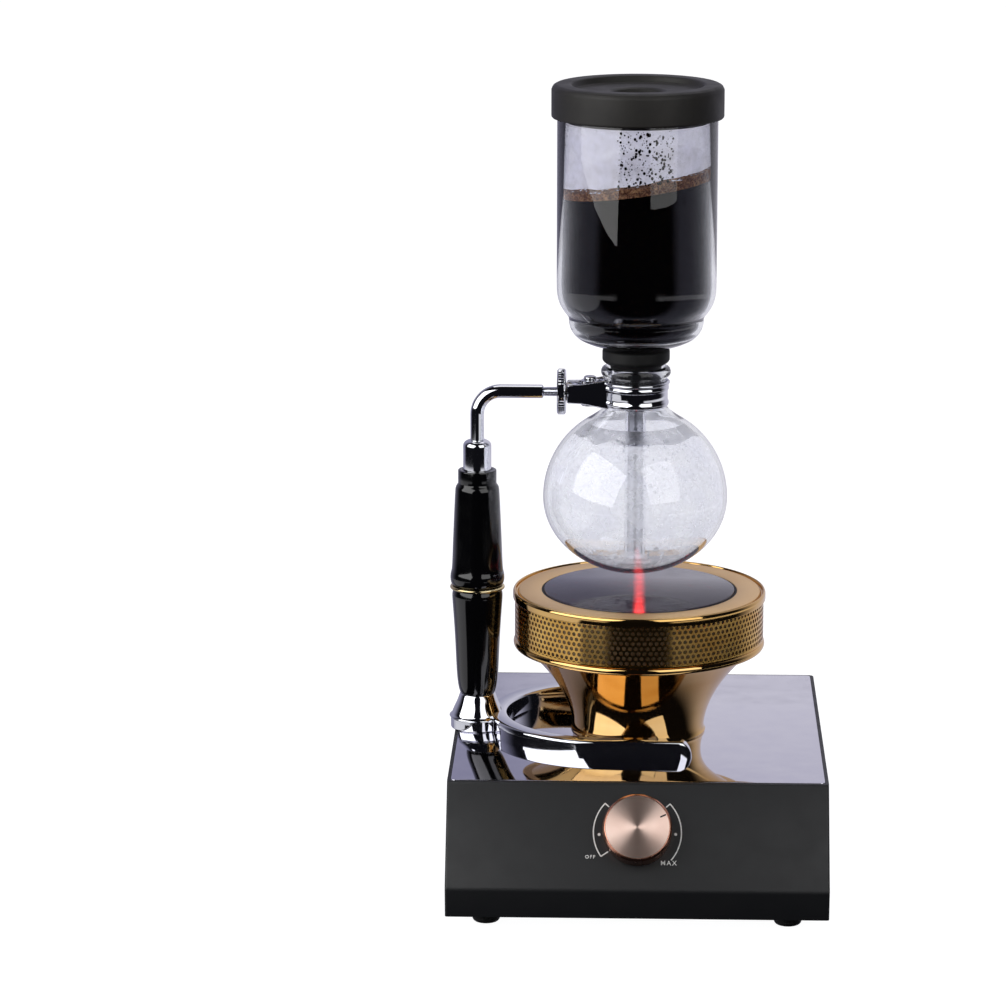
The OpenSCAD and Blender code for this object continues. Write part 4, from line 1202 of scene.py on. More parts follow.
@dataclass
class Stand:
    """Horseshoe foot, handle and bent arm."""

    frame: Frame
    bar: tuple[float, float] = (9.0, 9.5)     # width and height of the foot's bar
    bar_round: float = 1.7
    hoop_r: float = 51.0
    tip: float = 6.8             # length of the legs' domed ends
    rod: float = 3.5
    bend: float = 12.0
    thread_start: float = 50.0   # left of the heater's axis
    thread: float = 2.5
    thread_pitch: float = 0.8

    def build(self) -> None:
        """Makes the stand's pieces."""
        self.axis = self.frame.axis("grip_ring")
        self.foot()
        self.handle()
        self.arm()

    def foot(self) -> None:
        """The foot's bar: its section goes along one leg, round the hoop and along the other leg."""
        head = self.frame.axis("glass_disc")
        high = self.frame.box("stand_foot")[1]
        w, h, r = self.bar[0] / 2, self.bar[1], self.bar_round
        mid = self.hoop_r + w
        centre = Vector((head.x - 17.5 * MM, head.y, self.frame.plate))
        section = [(-w, 0.0), (w, 0.0)] + arc((w - r, h - r), (r, r), 0, 90, 5) + arc((r - w, h - r), (r, r),
                                                                                      90, 180, 5)
        start = Vector((high.x - self.tip * MM, centre.y + mid * MM, centre.z))
        piece = drawn("stand_foot", [start + Vector((0, y, z)) * MM for y, z in section])
        run = start.x - centre.x
        with editing(piece):
            bpy.ops.mesh.select_all(action="SELECT")
            bpy.ops.mesh.edge_face_add()
            bpy.ops.mesh.extrude_region_move(TRANSFORM_OT_translate={"value": (-run, 0, 0)})
            bpy.ops.mesh.spin(steps=64, angle=-math.pi, center=centre, axis=(0, 0, 1))
            bpy.ops.mesh.extrude_region_move(TRANSFORM_OT_translate={"value": (run, 0, 0)})
            for side in (-1, 1):
                self.round_end(piece, Vector((start.x, centre.y + side * mid * MM, centre.z)), w)
            bpy.ops.mesh.select_all(action="SELECT")
            bpy.ops.mesh.remove_doubles(threshold=WELD)
            bpy.ops.mesh.normals_make_consistent(inside=False)
        boss_r = self.frame.radius("bell_cap")
        boss = turned("boss", [(0, 0)] + eased([(boss_r - 0.4, 0), (boss_r, 0.5), (boss_r, 5.6),
                                                (boss_r - 0.4, 6)],
                                               0.3)[:-1] + [(0, 6)], self.axis, 96)
        self.frame.hand_over(join("stand_foot", [piece, boss]), "stand_foot")
        bell = turned("bell_cap", flowing([(0, 6), (boss_r - 0.2, 6), (boss_r - 0.5, 7.5), (12.4, 10.2),
                                           (10.6, 14.2),
                                           (9.6, 17), (9.1, 18.2), (8.4, 18.6)], 4) + [(0, 18.6)], self.axis,
                      96)
        self.frame.hand_over(bell, "bell_cap", crease=60)

    def round_end(self, piece: Piece, middle: Vector, half: float) -> None:
        """Rounds one end of the bar to half a dome, by short pushes that narrow and lower it.

        Args:
            piece: the bar in edit mode.
            middle: the middle of the end's lower edge, in metres.
            half: half of the bar's width.
        """
        pick(piece, "FACE",
             lambda f: f.normal.x**2 > 0.9 and abs(f.calc_center_median().x - middle.x) < WELD * 10
             and abs(f.calc_center_median().y - middle.y) < half * MM)
        angles = [math.radians(a) for a in (0, 18, 36, 52, 66, 78, 87)]
        for before, after in zip(angles, angles[1:]):
            step = (math.sin(after) - math.sin(before)) * self.tip * MM
            bpy.ops.mesh.extrude_region_move(TRANSFORM_OT_translate={"value": (step, 0, 0)})
            shrink = math.cos(after) / math.cos(before)
            bpy.ops.transform.resize(value=(1, shrink, shrink), center_override=middle)

    def handle(self) -> None:
        """The two grips, the ring between them and the ferrule on top."""
        foot, ring = self.frame.heights("lower_grip")
        lower = turned("lower_grip", [(0, foot)] + flowing([(8.9, foot + 0.05), (9.4, foot + 1.2),
                                                            (10.2, 23.5),
                                                          (10.9, 31), (11.7, 48.3), (12.5, 61), (13.0, 68),
                                                          (13.1, 71.6), (12.6, ring - 0.3)], 5) + [(0, ring)],
                       self.axis)
        self.frame.hand_over(lower, "lower_grip", crease=50)
        low, high = self.frame.heights("grip_ring")
        r = self.frame.radius("grip_ring")
        band = turned("grip_ring", [(0, low)] + arc((r - 1.2, (low + high) / 2), (1.2, (high - low) / 2), -90,
                                                    90, 10)
                      + [(0, high)], self.axis)
        self.frame.hand_over(band, "grip_ring")
        low, high = self.frame.heights("upper_grip")
        upper = turned("upper_grip", [(0, low)] + flowing([(12.6, low + 0.05), (13.5, 77.4), (14.0, 79.6),
                                                           (13.9, 82.4),
                                                         (13.2, 86.5), (12.6, 101), (11.95, 116), (11.5, 125),
                                                         (11.2, 128.2), (10.3, 129.9)], 5)
                       + eased([(9.95, 130.3), (9.95, high - 0.1), (7.6, high - 0.05)],
                               0.6)[:-1] + [(0, high - 0.05)],
                       self.axis)
        self.frame.hand_over(upper, "upper_grip", crease=50)
        high = self.frame.heights("ferrule")[1]
        low = self.frame.heights("upper_grip")[1]
        r = self.frame.radius("ferrule")
        tip = turned("ferrule", [(0, low), (r, low)] + arc((r - 3.6, high - 3), (3.6, 3), 0, 78, 8)
                     + [(self.rod + 0.1, high), (0, high)], self.axis)
        self.frame.hand_over(tip, "ferrule", crease=50)

    def arm(self) -> None:
        """The arm: a rod pushed up, spun through its bend, pushed right and stepped down to its thread."""
        low, high = self.frame.box("arm_rod")
        pivot = self.frame.axis("pivot_screw")
        level = high.z - self.rod * MM
        rise = level - self.bend * MM
        piece = primitive("arm_rod", bpy.ops.mesh.primitive_circle_add, vertices=32, radius=self.rod * MM,
                          fill_type="NGON", location=(self.axis.x, self.axis.y, low.z))
        settle(piece)
        head_x = self.frame.axis("glass_disc").x
        step_x = head_x - self.thread_start * MM
        with editing(piece, "FACE"):
            bpy.ops.mesh.select_all(action="SELECT")
            bpy.ops.mesh.extrude_region_move(TRANSFORM_OT_translate={"value": (0, 0, rise - low.z)})
            bpy.ops.mesh.spin(steps=16, angle=-math.pi / 2,
                              center=(self.axis.x + self.bend * MM, self.axis.y, rise),
                              axis=(0, 1, 0))
            x = self.axis.x + self.bend * MM
            middle = Vector((x, self.axis.y, level))
            moves = [(step_x - 0.5 * MM, self.rod), (step_x, self.rod - 0.5)]
            count = int((pivot.x - 4 * MM - step_x) / (self.thread_pitch * MM))
            for i in range(count):
                root = step_x + i * self.thread_pitch * MM
                moves += [(root + 0.05 * MM, self.thread - 0.32), (root + 0.4 * MM, self.thread)]
            radius = self.rod
            for place, wanted in moves:
                bpy.ops.mesh.extrude_region_move(TRANSFORM_OT_translate={"value": (place - x, 0, 0)})
                middle.x = x = place
                bpy.ops.transform.resize(value=[wanted / radius] * 3, center_override=middle)
                radius = wanted
            bpy.ops.mesh.select_all(action="SELECT")
            bpy.ops.mesh.normals_make_consistent(inside=False)
        eye_r, eye_h = 4.4, 3.0
        height = (level - self.frame.plate) / MM
        eye = turned("eye", eased([(1.85, height - eye_h / 2), (eye_r, height - eye_h / 2),
                                   (eye_r, height + eye_h / 2), (1.85, height + eye_h / 2)], 0.3), pivot, 40)
        self.frame.hand_over(join("arm_rod", [piece, eye]), "arm_rod")


# ---- the clamp ----

@dataclass
class Clamp:
    """Knurled nut, wedge, pivot screw and the two jaws that close on the bulb's neck."""

    frame: Frame
    ridges: int = 44
    knurl: float = 0.35

    def build(self) -> None:
        """Makes the clamp's pieces."""
        self.pivot = self.frame.axis("pivot_screw")
        self.neck = self.frame.axis("lower_bulb")
        low, high = self.frame.box("clamp_nut")
        self.level = (low.z + high.z) / 2
        self.nut(low, high)
        self.wedge()
        self.screw()
        for name, side in (("front_jaw", -1), ("back_jaw", 1)):
            self.jaw(name, side)

    def nut(self, low: Vector, high: Vector) -> None:
        """The nut: a disc whose edge is knurled by pushing in every second column.

        Args:
            low: the nut's lowest corner, in metres.
            high: its highest corner.
        """
        r = (high.z - low.z) / 2 / MM
        w = (high.x - low.x) / MM
        piece = turned("clamp_nut", eased([(2.6, 0.2), (5.2, 0.2), (5.6, 0), (r - 0.9, 0), (r, 0.7),
                                           (r, w - 0.7),
                                           (r - 0.9, w), (5.6, w), (5.2, w - 0.2), (2.6, w - 0.2)], 0.25),
                       steps=2 * self.ridges)
        with editing(piece):
            step = math.tau / (2 * self.ridges)
            pick(piece, "VERT", lambda v: math.hypot(v.co.x, v.co.y) > (r - 0.05) * MM
                 and round(math.atan2(v.co.y, v.co.x) / step) % 2 == 0)
            shrink = 1 - self.knurl / r
            bpy.ops.transform.resize(value=(shrink, shrink, 1), center_override=(0, 0, 0))
        place = Matrix.Translation((low.x, self.pivot.y, self.level)) @ Matrix.Rotation(math.pi / 2, 4, "Y")
        self.frame.hand_over(settle(piece, place), "clamp_nut", crease=25)

    def wedge(self) -> None:
        """The cone that spreads the jaws' tails."""
        low, high = self.frame.box("clamp_wedge")
        length = (high.x - low.x) / MM
        piece = turned("clamp_wedge", eased([(2.6, 0), (4.7, 0), (4.7, 0.7), (3.05, length), (2.6, length)],
                                            0.2),
                       steps=48)
        place = Matrix.Translation((low.x, self.pivot.y, self.level)) @ Matrix.Rotation(math.pi / 2, 4, "Y")
        self.frame.hand_over(settle(piece, place), "clamp_wedge")

    def screw(self) -> None:
        """The pivot screw, with a slotted pan head."""
        low, high = self.frame.heights("pivot_screw")
        piece = turned("pivot_screw", [(0, low), (1.75, low), (1.75, high - 1.9), (3.3, high - 1.9),
                                       (3.3, high - 1.1)]
                       + arc((1.9, high - 1.1), (1.4, 1.1), 0, 90, 5) + [(0, high)], self.pivot, 40)
        top = self.frame.box("pivot_screw")[1].z
        half = Vector((5, 0.4, 0)) * MM
        middle = Vector((self.pivot.x, self.pivot.y, top))
        cut_away(piece, block("slot", middle - half - UP * 0.7 * MM, middle + half + UP * MM))
        self.frame.hand_over(piece, "pivot_screw")

    def jaw(self, name: str, side: int) -> None:
        """One jaw: half of the rolled collar, a cheek that flares towards it, a knuckle and a tail.

        Args:
            name: the jaw's node.
            side: -1 for the front jaw and 1 for the back one.
        """
        low, high = self.frame.heights(name)
        collar_r, bottom, top = 16.9, 171.8, 185.2
        arm_z = (self.level - self.frame.plate) / MM
        band = ([(collar_r - 0.95, bottom)] + arc((collar_r - 0.7, bottom + 2), (0.75, 1.6), -70, 70, 5)
                + [(collar_r - 0.45, bottom + 4.3), (collar_r - 0.45, top - 5.4)]
                + arc((collar_r - 0.6, top - 3.6), (0.7, 1.4), -70, 70, 5)
                + arc((collar_r - 0.3, top - 0.9), (0.9, 0.9), -75, 160, 8) + [(collar_r - 0.95, top - 1.4)])
        gap = 1.7
        collar = turned("collar", band + band[:1], self.neck, 48, FULL_TURN / 2 - 2 * gap)
        turn = Matrix.Translation(self.neck) @ Matrix.Rotation(
            math.radians(gap if side > 0 else 180 + gap), 4, "Z") @ Matrix.Translation(-self.neck)
        settle(collar, turn)
        with editing(collar, "EDGE"):
            pick(collar, "EDGE", lambda e: e.is_boundary)
            bpy.ops.mesh.edge_face_add()
            bpy.ops.mesh.select_all(action="SELECT")
            bpy.ops.mesh.normals_make_consistent(inside=False)
        box_low = self.frame.box(name)[0].x
        head_x = self.frame.axis("glass_disc").x
        cheek = [(box_low / MM, 5.0), (box_low / MM + 7, 5.1), (-26 + head_x / MM, 5.8), (-19, 7.1),
                 (-15.5, 7.6)]
        points = [(x, arm_z + z) for x, z in cheek] + [(x, arm_z - z - 0.2 * i) for i, (x, z) in
                                                       reversed(list(enumerate(cheek)))]
        inner, outer = 4.9, 7.2
        plan = [Vector((x * MM, self.pivot.y + side * inner * MM, self.frame.plate + z * MM)) for x,
                z in points]
        plate = drawn("cheek", plan)
        with editing(plate):
            bpy.ops.mesh.select_all(action="SELECT")
            bpy.ops.mesh.edge_face_add()
            bpy.ops.mesh.extrude_region_move(TRANSFORM_OT_translate={"value": (0, side * (outer - inner) * MM,
                                                                               0)})
            bpy.ops.mesh.select_all(action="SELECT")
            bpy.ops.mesh.normals_make_consistent(inside=False)
            pick(plate, "EDGE", lambda e: len(e.link_faces) == 2 and e.calc_face_angle() > 0.9)
            bpy.ops.mesh.bevel(offset=1.05 * MM, segments=4, profile=0.5)
        knuckle_low, knuckle_high = (arm_z + 1.8, high) if side < 0 else (low, arm_z - 1.8)
        knuckle_high = min(knuckle_high, arm_z + 6.4)
        knuckle = turned("knuckle", eased([(1.85, knuckle_low), (4.6, knuckle_low), (4.6, knuckle_high),
                                           (1.85, knuckle_high)], 0.5), self.pivot, 40)
        web_low = Vector((self.pivot.x - 3.4 * MM, self.pivot.y + min(side * 2.6, side * 6) * MM,
                          self.frame.plate + knuckle_low * MM))
        web_high = Vector((self.pivot.x + 3.4 * MM, self.pivot.y + max(side * 2.6, side * 6) * MM,
                           self.frame.plate + knuckle_high * MM))
        web = block("web", web_low, web_high, 0.4)
        tail_low = Vector((box_low, self.pivot.y + min(side * 3.6, side * 6.6) * MM, self.level - 4.6 * MM))
        tail_high = Vector((box_low + 6.4 * MM, self.pivot.y + max(side * 3.6, side * 6.6) * MM,
                            self.level + 4.6 * MM))
        tail = block("tail", tail_low, tail_high, 0.4)
        self.frame.hand_over(join(name, [collar, plate, knuckle, web, tail]), name, crease=40)


# ---- glass, stopper and lid ----

@dataclass
class Glassware:
    """Lower bulb, upper chamber with its stem, the stopper between them, and the lid."""

    frame: Frame
    wall: float = 2.0
    bulb_low: float = 39.5       # depth of the bulb's flattened lower half
    neck: float = 15.6
    shoulder: float = 60.0       # where the bulb's sphere gives way to its shoulder, in degrees
    stem: float = 5.5
    bore: float = 4.0
    well: float = 203.0          # height of the chamber's bottom
    socket: float = 13.0         # radius of the lid's socket

    def build(self) -> None:
        """Makes the glass pieces and what closes them."""
        self.axis = self.frame.axis("lower_bulb")
        self.bulb()
        self.chamber()
        self.stopper()
        self.lid()

    def bulb_side(self, inset: float) -> Outline:
        """The bulb's side from its bottom to its neck.

        Args:
            inset: how far the outline lies inside the outer face; the wall's thickness gives the inner one.

        Returns:
            The outline, upwards.
        """
        bottom = self.frame.heights("lower_bulb")[0]
        r, b = self.frame.radius("lower_bulb") - inset, self.bulb_low - inset
        middle = bottom + self.bulb_low
        lip = self.frame.heights("lower_bulb")[1]
        crown = arc((0, middle), (r, r), 0, self.shoulder, 20)
        neck_z = lip - 21
        rest = flowing([crown[-1], (20.6 - inset * 0.8, 167.2 - inset * 0.5),
                        (17.7 - inset, 169.4 - inset * 0.3),
                        (self.neck + 0.3 - inset, neck_z + 0.4), (self.neck - inset, neck_z + 2.4),
                        (self.neck - inset, neck_z + 4)], 5)
        return arc((0, middle), (r, b), -90, 0, 28)[:-1] + crown[:-1] + rest

    def bulb(self) -> None:
        """The lower bulb, blown with an even wall and a rolled lip."""
        lip, r = self.frame.heights("lower_bulb")[1], 17.9
        rolled = flowing([(self.neck, lip - 6.4), (self.neck + 0.5, lip - 5.6), (r - 0.5, lip - 4.4),
                          (r, lip - 2.6),
                          (r - 0.6, lip - 0.7), (r - 2.0, lip), (self.neck - self.wall + 0.8, lip - 0.1),
                          (self.neck - self.wall, lip - 1.4)], 4)
        piece = turned("lower_bulb", self.bulb_side(0) + rolled + self.bulb_side(self.wall)[::-1], self.axis,
                       128)
        self.frame.hand_over(piece, "lower_bulb", crease=80)

    def chamber_side(self, inset: float) -> Outline:
        """The chamber's side from its stem to its mouth.

        Args:
            inset: how far the outline lies inside the outer face; the wall's thickness gives the inner one.

        Returns:
            The outline, upwards.
        """
        r = self.frame.radius("upper_chamber") - inset
        foot = self.well + inset * 0.9
        hole = self.stem if inset == 0 else self.bore
        return flowing([(hole + 1.6, foot), (16, foot + 0.3), (23, foot + 1.5), (29.4, foot + 4.3),
                        (32.7 - inset * 0.7, 210.6 + inset * 0.7), (34.3 - inset, 214.5),
                        (34.7 - inset, 218.2),
                        (36.9 - inset, 221.3), (39.3 - inset, 225.4), (r - 0.25, 230.5), (r, 238)], 5)

    def chamber(self) -> None:
        """The upper chamber and the stem fused to its bottom."""
        low, top = self.frame.heights("upper_chamber")
        r = self.frame.radius("upper_chamber")
        middle = r - self.wall / 2
        outside = [(self.stem, low + 0.6), (self.stem, self.well - 2.0), (self.stem + 0.4, self.well - 0.7)]
        inside = [(self.bore + 0.5, self.well + 1.5), (self.bore, self.well + 0.8), (self.bore, low + 0.6)]
        piece = turned("upper_chamber", outside + self.chamber_side(0)
                       + arc((middle, top - self.wall / 2), (self.wall / 2, self.wall / 2), 0, 180, 6)
                       + self.chamber_side(self.wall)[::-1] + inside
                       + arc(((self.stem + self.bore) / 2, low + 0.6), (0.75, 0.6), 180, 360, 5), self.axis,
                       128)
        self.frame.hand_over(piece, "upper_chamber", crease=80)

    def stopper(self) -> None:
        """The stopper, moulded with a grip bead above the bulb's lip."""
        low, high = self.frame.heights("stem_stopper")
        lip = self.frame.heights("lower_bulb")[1]
        bore = self.stem + 0.06
        piece = turned("stem_stopper", eased([(bore, low), (11.3, low), (12, low + 1), (13.05, lip - 1),
                                              (13.2, lip + 0.5), (16.4, lip + 2.4), (17.3, lip + 3.6),
                                              (17.3, high - 1),
                                              (16.6, high - 0.1), (bore, high - 0.1)], 0.5), self.axis)
        self.frame.hand_over(piece, "stem_stopper", crease=50)

    def lid(self) -> None:
        """The lid: a rounded rim, a shallow dish, and a socket that takes the end of the stem."""
        base, top = self.frame.heights("lid")
        base += 2                # the inner skirt reaches this much lower than the outer
        r = self.frame.radius("lid")
        dish = top - 3.6
        inner = self.frame.radius("upper_chamber") - self.wall
        under = dish - 2.6
        outline = eased([
            (r - 0.5, base), (r, base + 0.6), (r, top - 2.6), (r - 0.9, top - 0.9), (r - 2.6, top),
                         (34.6, top),
            (33.6, top - 0.5), (32.4, dish + 0.5), (31, dish), (self.socket + 1.6, dish),
                         (self.socket, dish - 0.8),
            (self.socket - 1.4, dish - 3), (self.socket - 3, dish - 8.6)], 0.5)[4:-1]
        closing = [(self.socket - 4, dish - 9), (0, dish - 9), (0, dish - 11), (self.socket - 1, dish - 11),
                   (self.socket + 0.4, dish - 4), (self.socket + 1.6, under), (inner - 2.6, under),
                   (inner - 2.4, base - 2), (inner - 0.8, base - 2), (inner - 0.5, under), (r - 2.2, under),
                   (r - 2.2, base), (r - 0.5, base)]
        piece = turned("lid", closing[1:2] + [(self.socket - 4, dish - 9)] + outline[::-1]
                       + closing[:2:-1] + closing[2:3], self.axis, 128)
        self.frame.hand_over(piece, "lid", crease=40)


# ---- coffee, water and drops ----

@dataclass
class Brew:
    """What is in the glass: coffee with its crust, condensed drops and a last film of water."""

    frame: Frame
    glass: Glassware
    level: float = 285.4         # top of the coffee on the axis
    slope: float = 0.14          # the coffee still swirls, so its top rises to the right by this
    gap: float = 0.35            # air between a liquid and the glass
    seed: int = 11

    def build(self) -> None:
        """Makes the liquids and the drops."""
        self.rng = random.Random(self.seed)
        self.axis = self.glass.axis
        self.inner = self.frame.radius("upper_chamber") - self.glass.wall
        self.coffee()
        self.crust()
        self.chamber_drops()
        self.bulb_drops()
        self.mist()
        self.haze()
        self.chamber_mist()
        self.stem_film()
        self.water()

    def coffee(self) -> None:
        """The coffee fills the chamber to its level and leaves room for the filter."""
        wall = [(r - self.gap, z + self.gap) for r, z in self.glass.chamber_side(self.glass.wall)]
        filter_r = self.frame.radius("filter_cloth") + 0.4
        low = self.frame.heights("filter_cloth")[0]
        top = self.frame.heights("filter_disc")[1] + 0.4
        shell = [p for p in wall if p[0] > filter_r + 0.6]
        piece = turned("coffee", [(0, top), (filter_r, top), (filter_r, low - 0.6)] + shell
                       + [(self.inner - self.gap, self.level), (0, self.level)], self.axis)
        for vertex in piece.data.vertices:
            if (vertex.co.z - self.frame.plate) / MM > self.level - 1:
                vertex.co.z += self.slope * (vertex.co.x - self.axis.x)
        self.frame.hand_over(piece, "upper_chamber", finish=COFFEE, extra=True)

    def crust(self) -> None:
        """The crust on the coffee: a disc whose top is heaved into mounds, thicker to the right."""
        r = self.inner - self.gap
        low = self.level + 0.05
        rings = [(r * i / 20, low + 3.6) for i in range(20)]
        piece = turned("coffee_crust", rings + [(r - 0.3, low + 4.4), (r, low + 4.2), (r, low + 2.4), (r, low),
                                                (0, low)], self.axis, 120)
        for vertex in piece.data.vertices:
            height = (vertex.co.z - self.frame.plate) / MM
            across = (vertex.co.x - self.axis.x) / MM
            if height > low + 0.5:
                lumps = noise.noise(vertex.co * 110) * 1.5 + noise.noise(vertex.co * 420) * 0.8
                vertex.co.z += (max(lumps, -0.9) + 1.2 * across / r) * MM
            vertex.co.z += self.slope * across * MM
        self.frame.hand_over(piece, "upper_chamber", finish=FOAM, extra=True, crease=80)
        bubble = primitive("bubble", bpy.ops.mesh.primitive_ico_sphere_add, subdivisions=2, radius=MM)
        places = []
        for i in range(60):
            turn, out = self.rng.uniform(0, math.tau), r * self.rng.uniform(0.86, 0.985)
            size = self.rng.uniform(0.4, 1.0) if i else 2.6
            turn = turn if i else math.radians(-58)
            out = min(out, r - size)
            across = out * math.cos(turn)
            rise = low + 4.2 + (self.slope + 1.2 / r) * across + self.rng.uniform(-0.6, 1.2)
            places.append(Matrix.Translation(self.axis + Vector((across, out * math.sin(turn), rise)) * MM)
                          @ Matrix.Scale(size, 4))
        self.frame.hand_over(copies("crust_bubbles", bubble, places), "upper_chamber", finish=WATER,
                             extra=True,
                             crease=80)

    def drop(self, name: str) -> Piece:
        """A flat drop that bulges along +X from the origin, one unit across.

        Args:
            name: the piece's name.

        Returns:
            The drop.
        """
        piece = turned(name, [(1, 0), (0.86, 0.34), (0.5, 0.58), (0, 0.66)], steps=8)
        with editing(piece, "EDGE"):
            pick(piece, "EDGE", lambda e: e.is_boundary)
            bpy.ops.mesh.edge_face_add()
            bpy.ops.mesh.select_all(action="SELECT")
            bpy.ops.mesh.normals_make_consistent(inside=False)
        return settle(piece, Matrix.Rotation(math.pi / 2, 4, "Y"))

    def chamber_drops(self) -> None:
        """Black-brown specks on the front of the wall, painted shade for drops that look dark there, and a
        mist of clear drops all round.
        """
        lid = self.frame.heights("lid")[0] - 0.5
        # painted shade: the dark specks are spread only over the front of the wall
        for name, count, spread, sizes, finish in (("painted_shade_specks", 300, 21, (0.16, 0.62), SPECK_SHADE),
                                                   ("chamber_drops", 420, 180, (0.2, 0.5), WATER)):
            places = []
            for _ in range(count):
                turn = math.radians(-84 + self.rng.uniform(-spread, spread))
                size = sizes[0] + sizes[1] * self.rng.random()**2.4
                floor = self.level + 5 + self.slope * self.inner * math.cos(turn)
                height = self.rng.uniform(floor, lid)
                spot = Vector((math.cos(turn), math.sin(turn),
                               0)) * (self.inner - 0.06) * MM + UP * height * MM
                places.append(Matrix.Translation(self.axis + spot) @ Matrix.Rotation(turn + math.pi, 4, "Z")
                              @ Matrix.Scale(size, 4) @ Matrix.Scale(self.rng.uniform(0.8, 1.5), 4, UP))
            piece = copies(name, self.drop("drop"), places)
            self.frame.hand_over(piece, "upper_chamber", finish=finish, extra=True, crease=80)

    def bulb_drops(self) -> None:
        """Drops on the bulb's inside: a mist near its shoulder and bubbles near its bottom."""
        r = self.frame.radius("lower_bulb") - self.glass.wall
        b = self.glass.bulb_low - self.glass.wall
        middle = self.frame.heights("lower_bulb")[0] + self.glass.bulb_low
        places = []
        for i in range(620):
            if i % 5 < 2:
                lift, turn = math.radians(self.rng.uniform(14, 50)), math.radians(-98 + self.rng.gauss(0, 32))
                size = 0.25 + 0.7 * self.rng.random()**2.5
                radii = (r, r)
            else:
                lift, turn = -math.radians(50 + 32 * self.rng.random()), self.rng.uniform(0, math.tau)
                size = 0.4 + 1.1 * self.rng.random()**2
                radii = (r, b)
            place = Vector((radii[0] * math.cos(lift), 0, radii[1] * math.sin(lift)))
            out = Vector((math.cos(lift) / radii[0], 0, math.sin(lift) / radii[1])).normalized()
            tilt = math.atan2(out.z, out.x)
            place -= out * 0.05
            spot = Matrix.Rotation(turn, 4, "Z") @ Matrix.Translation((place + UP * middle) * MM)
            places.append(Matrix.Translation(self.axis) @ spot @ Matrix.Rotation(math.pi - tilt, 4, "Y")
                          @ Matrix.Scale(size, 4))
        piece = copies("bulb_drops", self.drop("drop"), places)
        self.frame.hand_over(piece, "lower_bulb", finish=WATER, extra=True, crease=80)

    def mist(self) -> None:
        """Fine condensation under the bulb's neck, with a wavy lower edge."""
        r = self.frame.radius("lower_bulb") - self.glass.wall - 0.12
        middle = self.frame.heights("lower_bulb")[0] + self.glass.bulb_low
        top, low = 58.0, 47.0
        side = arc((0, middle), (r, r), top, low, 10)
        inside = [(x * (1 - 0.15 / r), z - 0.1) for x, z in side]
        piece = turned("bulb_mist", side + inside[::-1] + side[:1], self.axis, 120)
        centre = self.axis + UP * middle * MM
        for vertex in piece.data.vertices:
            spot = vertex.co - centre
            flat = math.hypot(spot.x, spot.y)
            lift, turn = math.degrees(math.atan2(spot.z, flat)), math.atan2(spot.y, spot.x)
            wave = noise.noise(Vector((math.cos(turn), math.sin(turn), 0)) * 3.2)
            new = math.radians(top - (top - lift) * (1 + 0.35 * wave))
            out = Vector((spot.x, spot.y, 0)) / flat
            vertex.co = centre + (out * math.cos(new) + UP * math.sin(new)) * spot.length
        self.frame.hand_over(piece, "lower_bulb", finish=MIST, extra=True, crease=80)

    def haze(self) -> None:
        """A breath of steam on the whole inside of the bulb."""
        r = self.frame.radius("lower_bulb") - self.glass.wall - 0.3
        middle = self.frame.heights("lower_bulb")[0] + self.glass.bulb_low
        side = arc((0, middle), (r, r), 46, 0, 14) + arc((0, middle), (r, self.glass.bulb_low - 2), 0, -58,
                                                         18)[1:]
        inside = [(x * (1 - 0.1 / r), z) for x, z in side]
        piece = turned("bulb_haze", side + inside[::-1] + side[:1], self.axis, 96)
        self.frame.hand_over(piece, "lower_bulb", finish=HAZE, extra=True, crease=80)

    def chamber_mist(self) -> None:
        """Steam on the chamber's wall, from just over the crust to the lid."""
        r = self.inner - 0.16
        low, high = self.level + 6.4, self.frame.heights("lid")[0] - 0.5
        piece = turned("chamber_mist", [(r - 0.1, low), (r, low), (r, high), (r - 0.1, high), (r - 0.1, low)],
                       self.axis, 120)
        for vertex in piece.data.vertices:
            if (vertex.co.z - self.frame.plate) / MM < low + 1:
                wave = noise.noise(vertex.co * 90) * 0.9
                vertex.co.z += (self.slope + 0.02) * (vertex.co.x - self.axis.x) + wave * MM
        self.frame.hand_over(piece, "upper_chamber", finish=STEAM, extra=True, crease=80)

    def stem_film(self) -> None:
        """Condensation inside the stem."""
        low = self.frame.heights("upper_chamber")[0] + 2
        bore = self.glass.bore - 0.06
        piece = turned("stem_film", [(bore - 0.16, low), (bore, low), (bore, self.glass.well - 4),
                                     (bore - 0.16, self.glass.well - 4), (bore - 0.16, low)], self.axis, 32)
        self.frame.hand_over(piece, "upper_chamber", finish=MIST, extra=True, crease=80)

    def water(self) -> None:
        """A shallow pool in the bulb's bottom."""
        r = self.frame.radius("lower_bulb") - self.glass.wall - self.gap
        b = self.glass.bulb_low - self.glass.wall - self.gap
        middle = self.frame.heights("lower_bulb")[0] + self.glass.bulb_low
        top = self.frame.heights("bead_chain")[0] - 0.3
        edge = math.degrees(math.asin((top - middle) / b))
        piece = turned("bulb_water", arc((0, middle), (r, b), -90, edge, 12) + [(0, top)], self.axis)
        self.frame.hand_over(piece, "lower_bulb", finish=WATER, extra=True, crease=30)


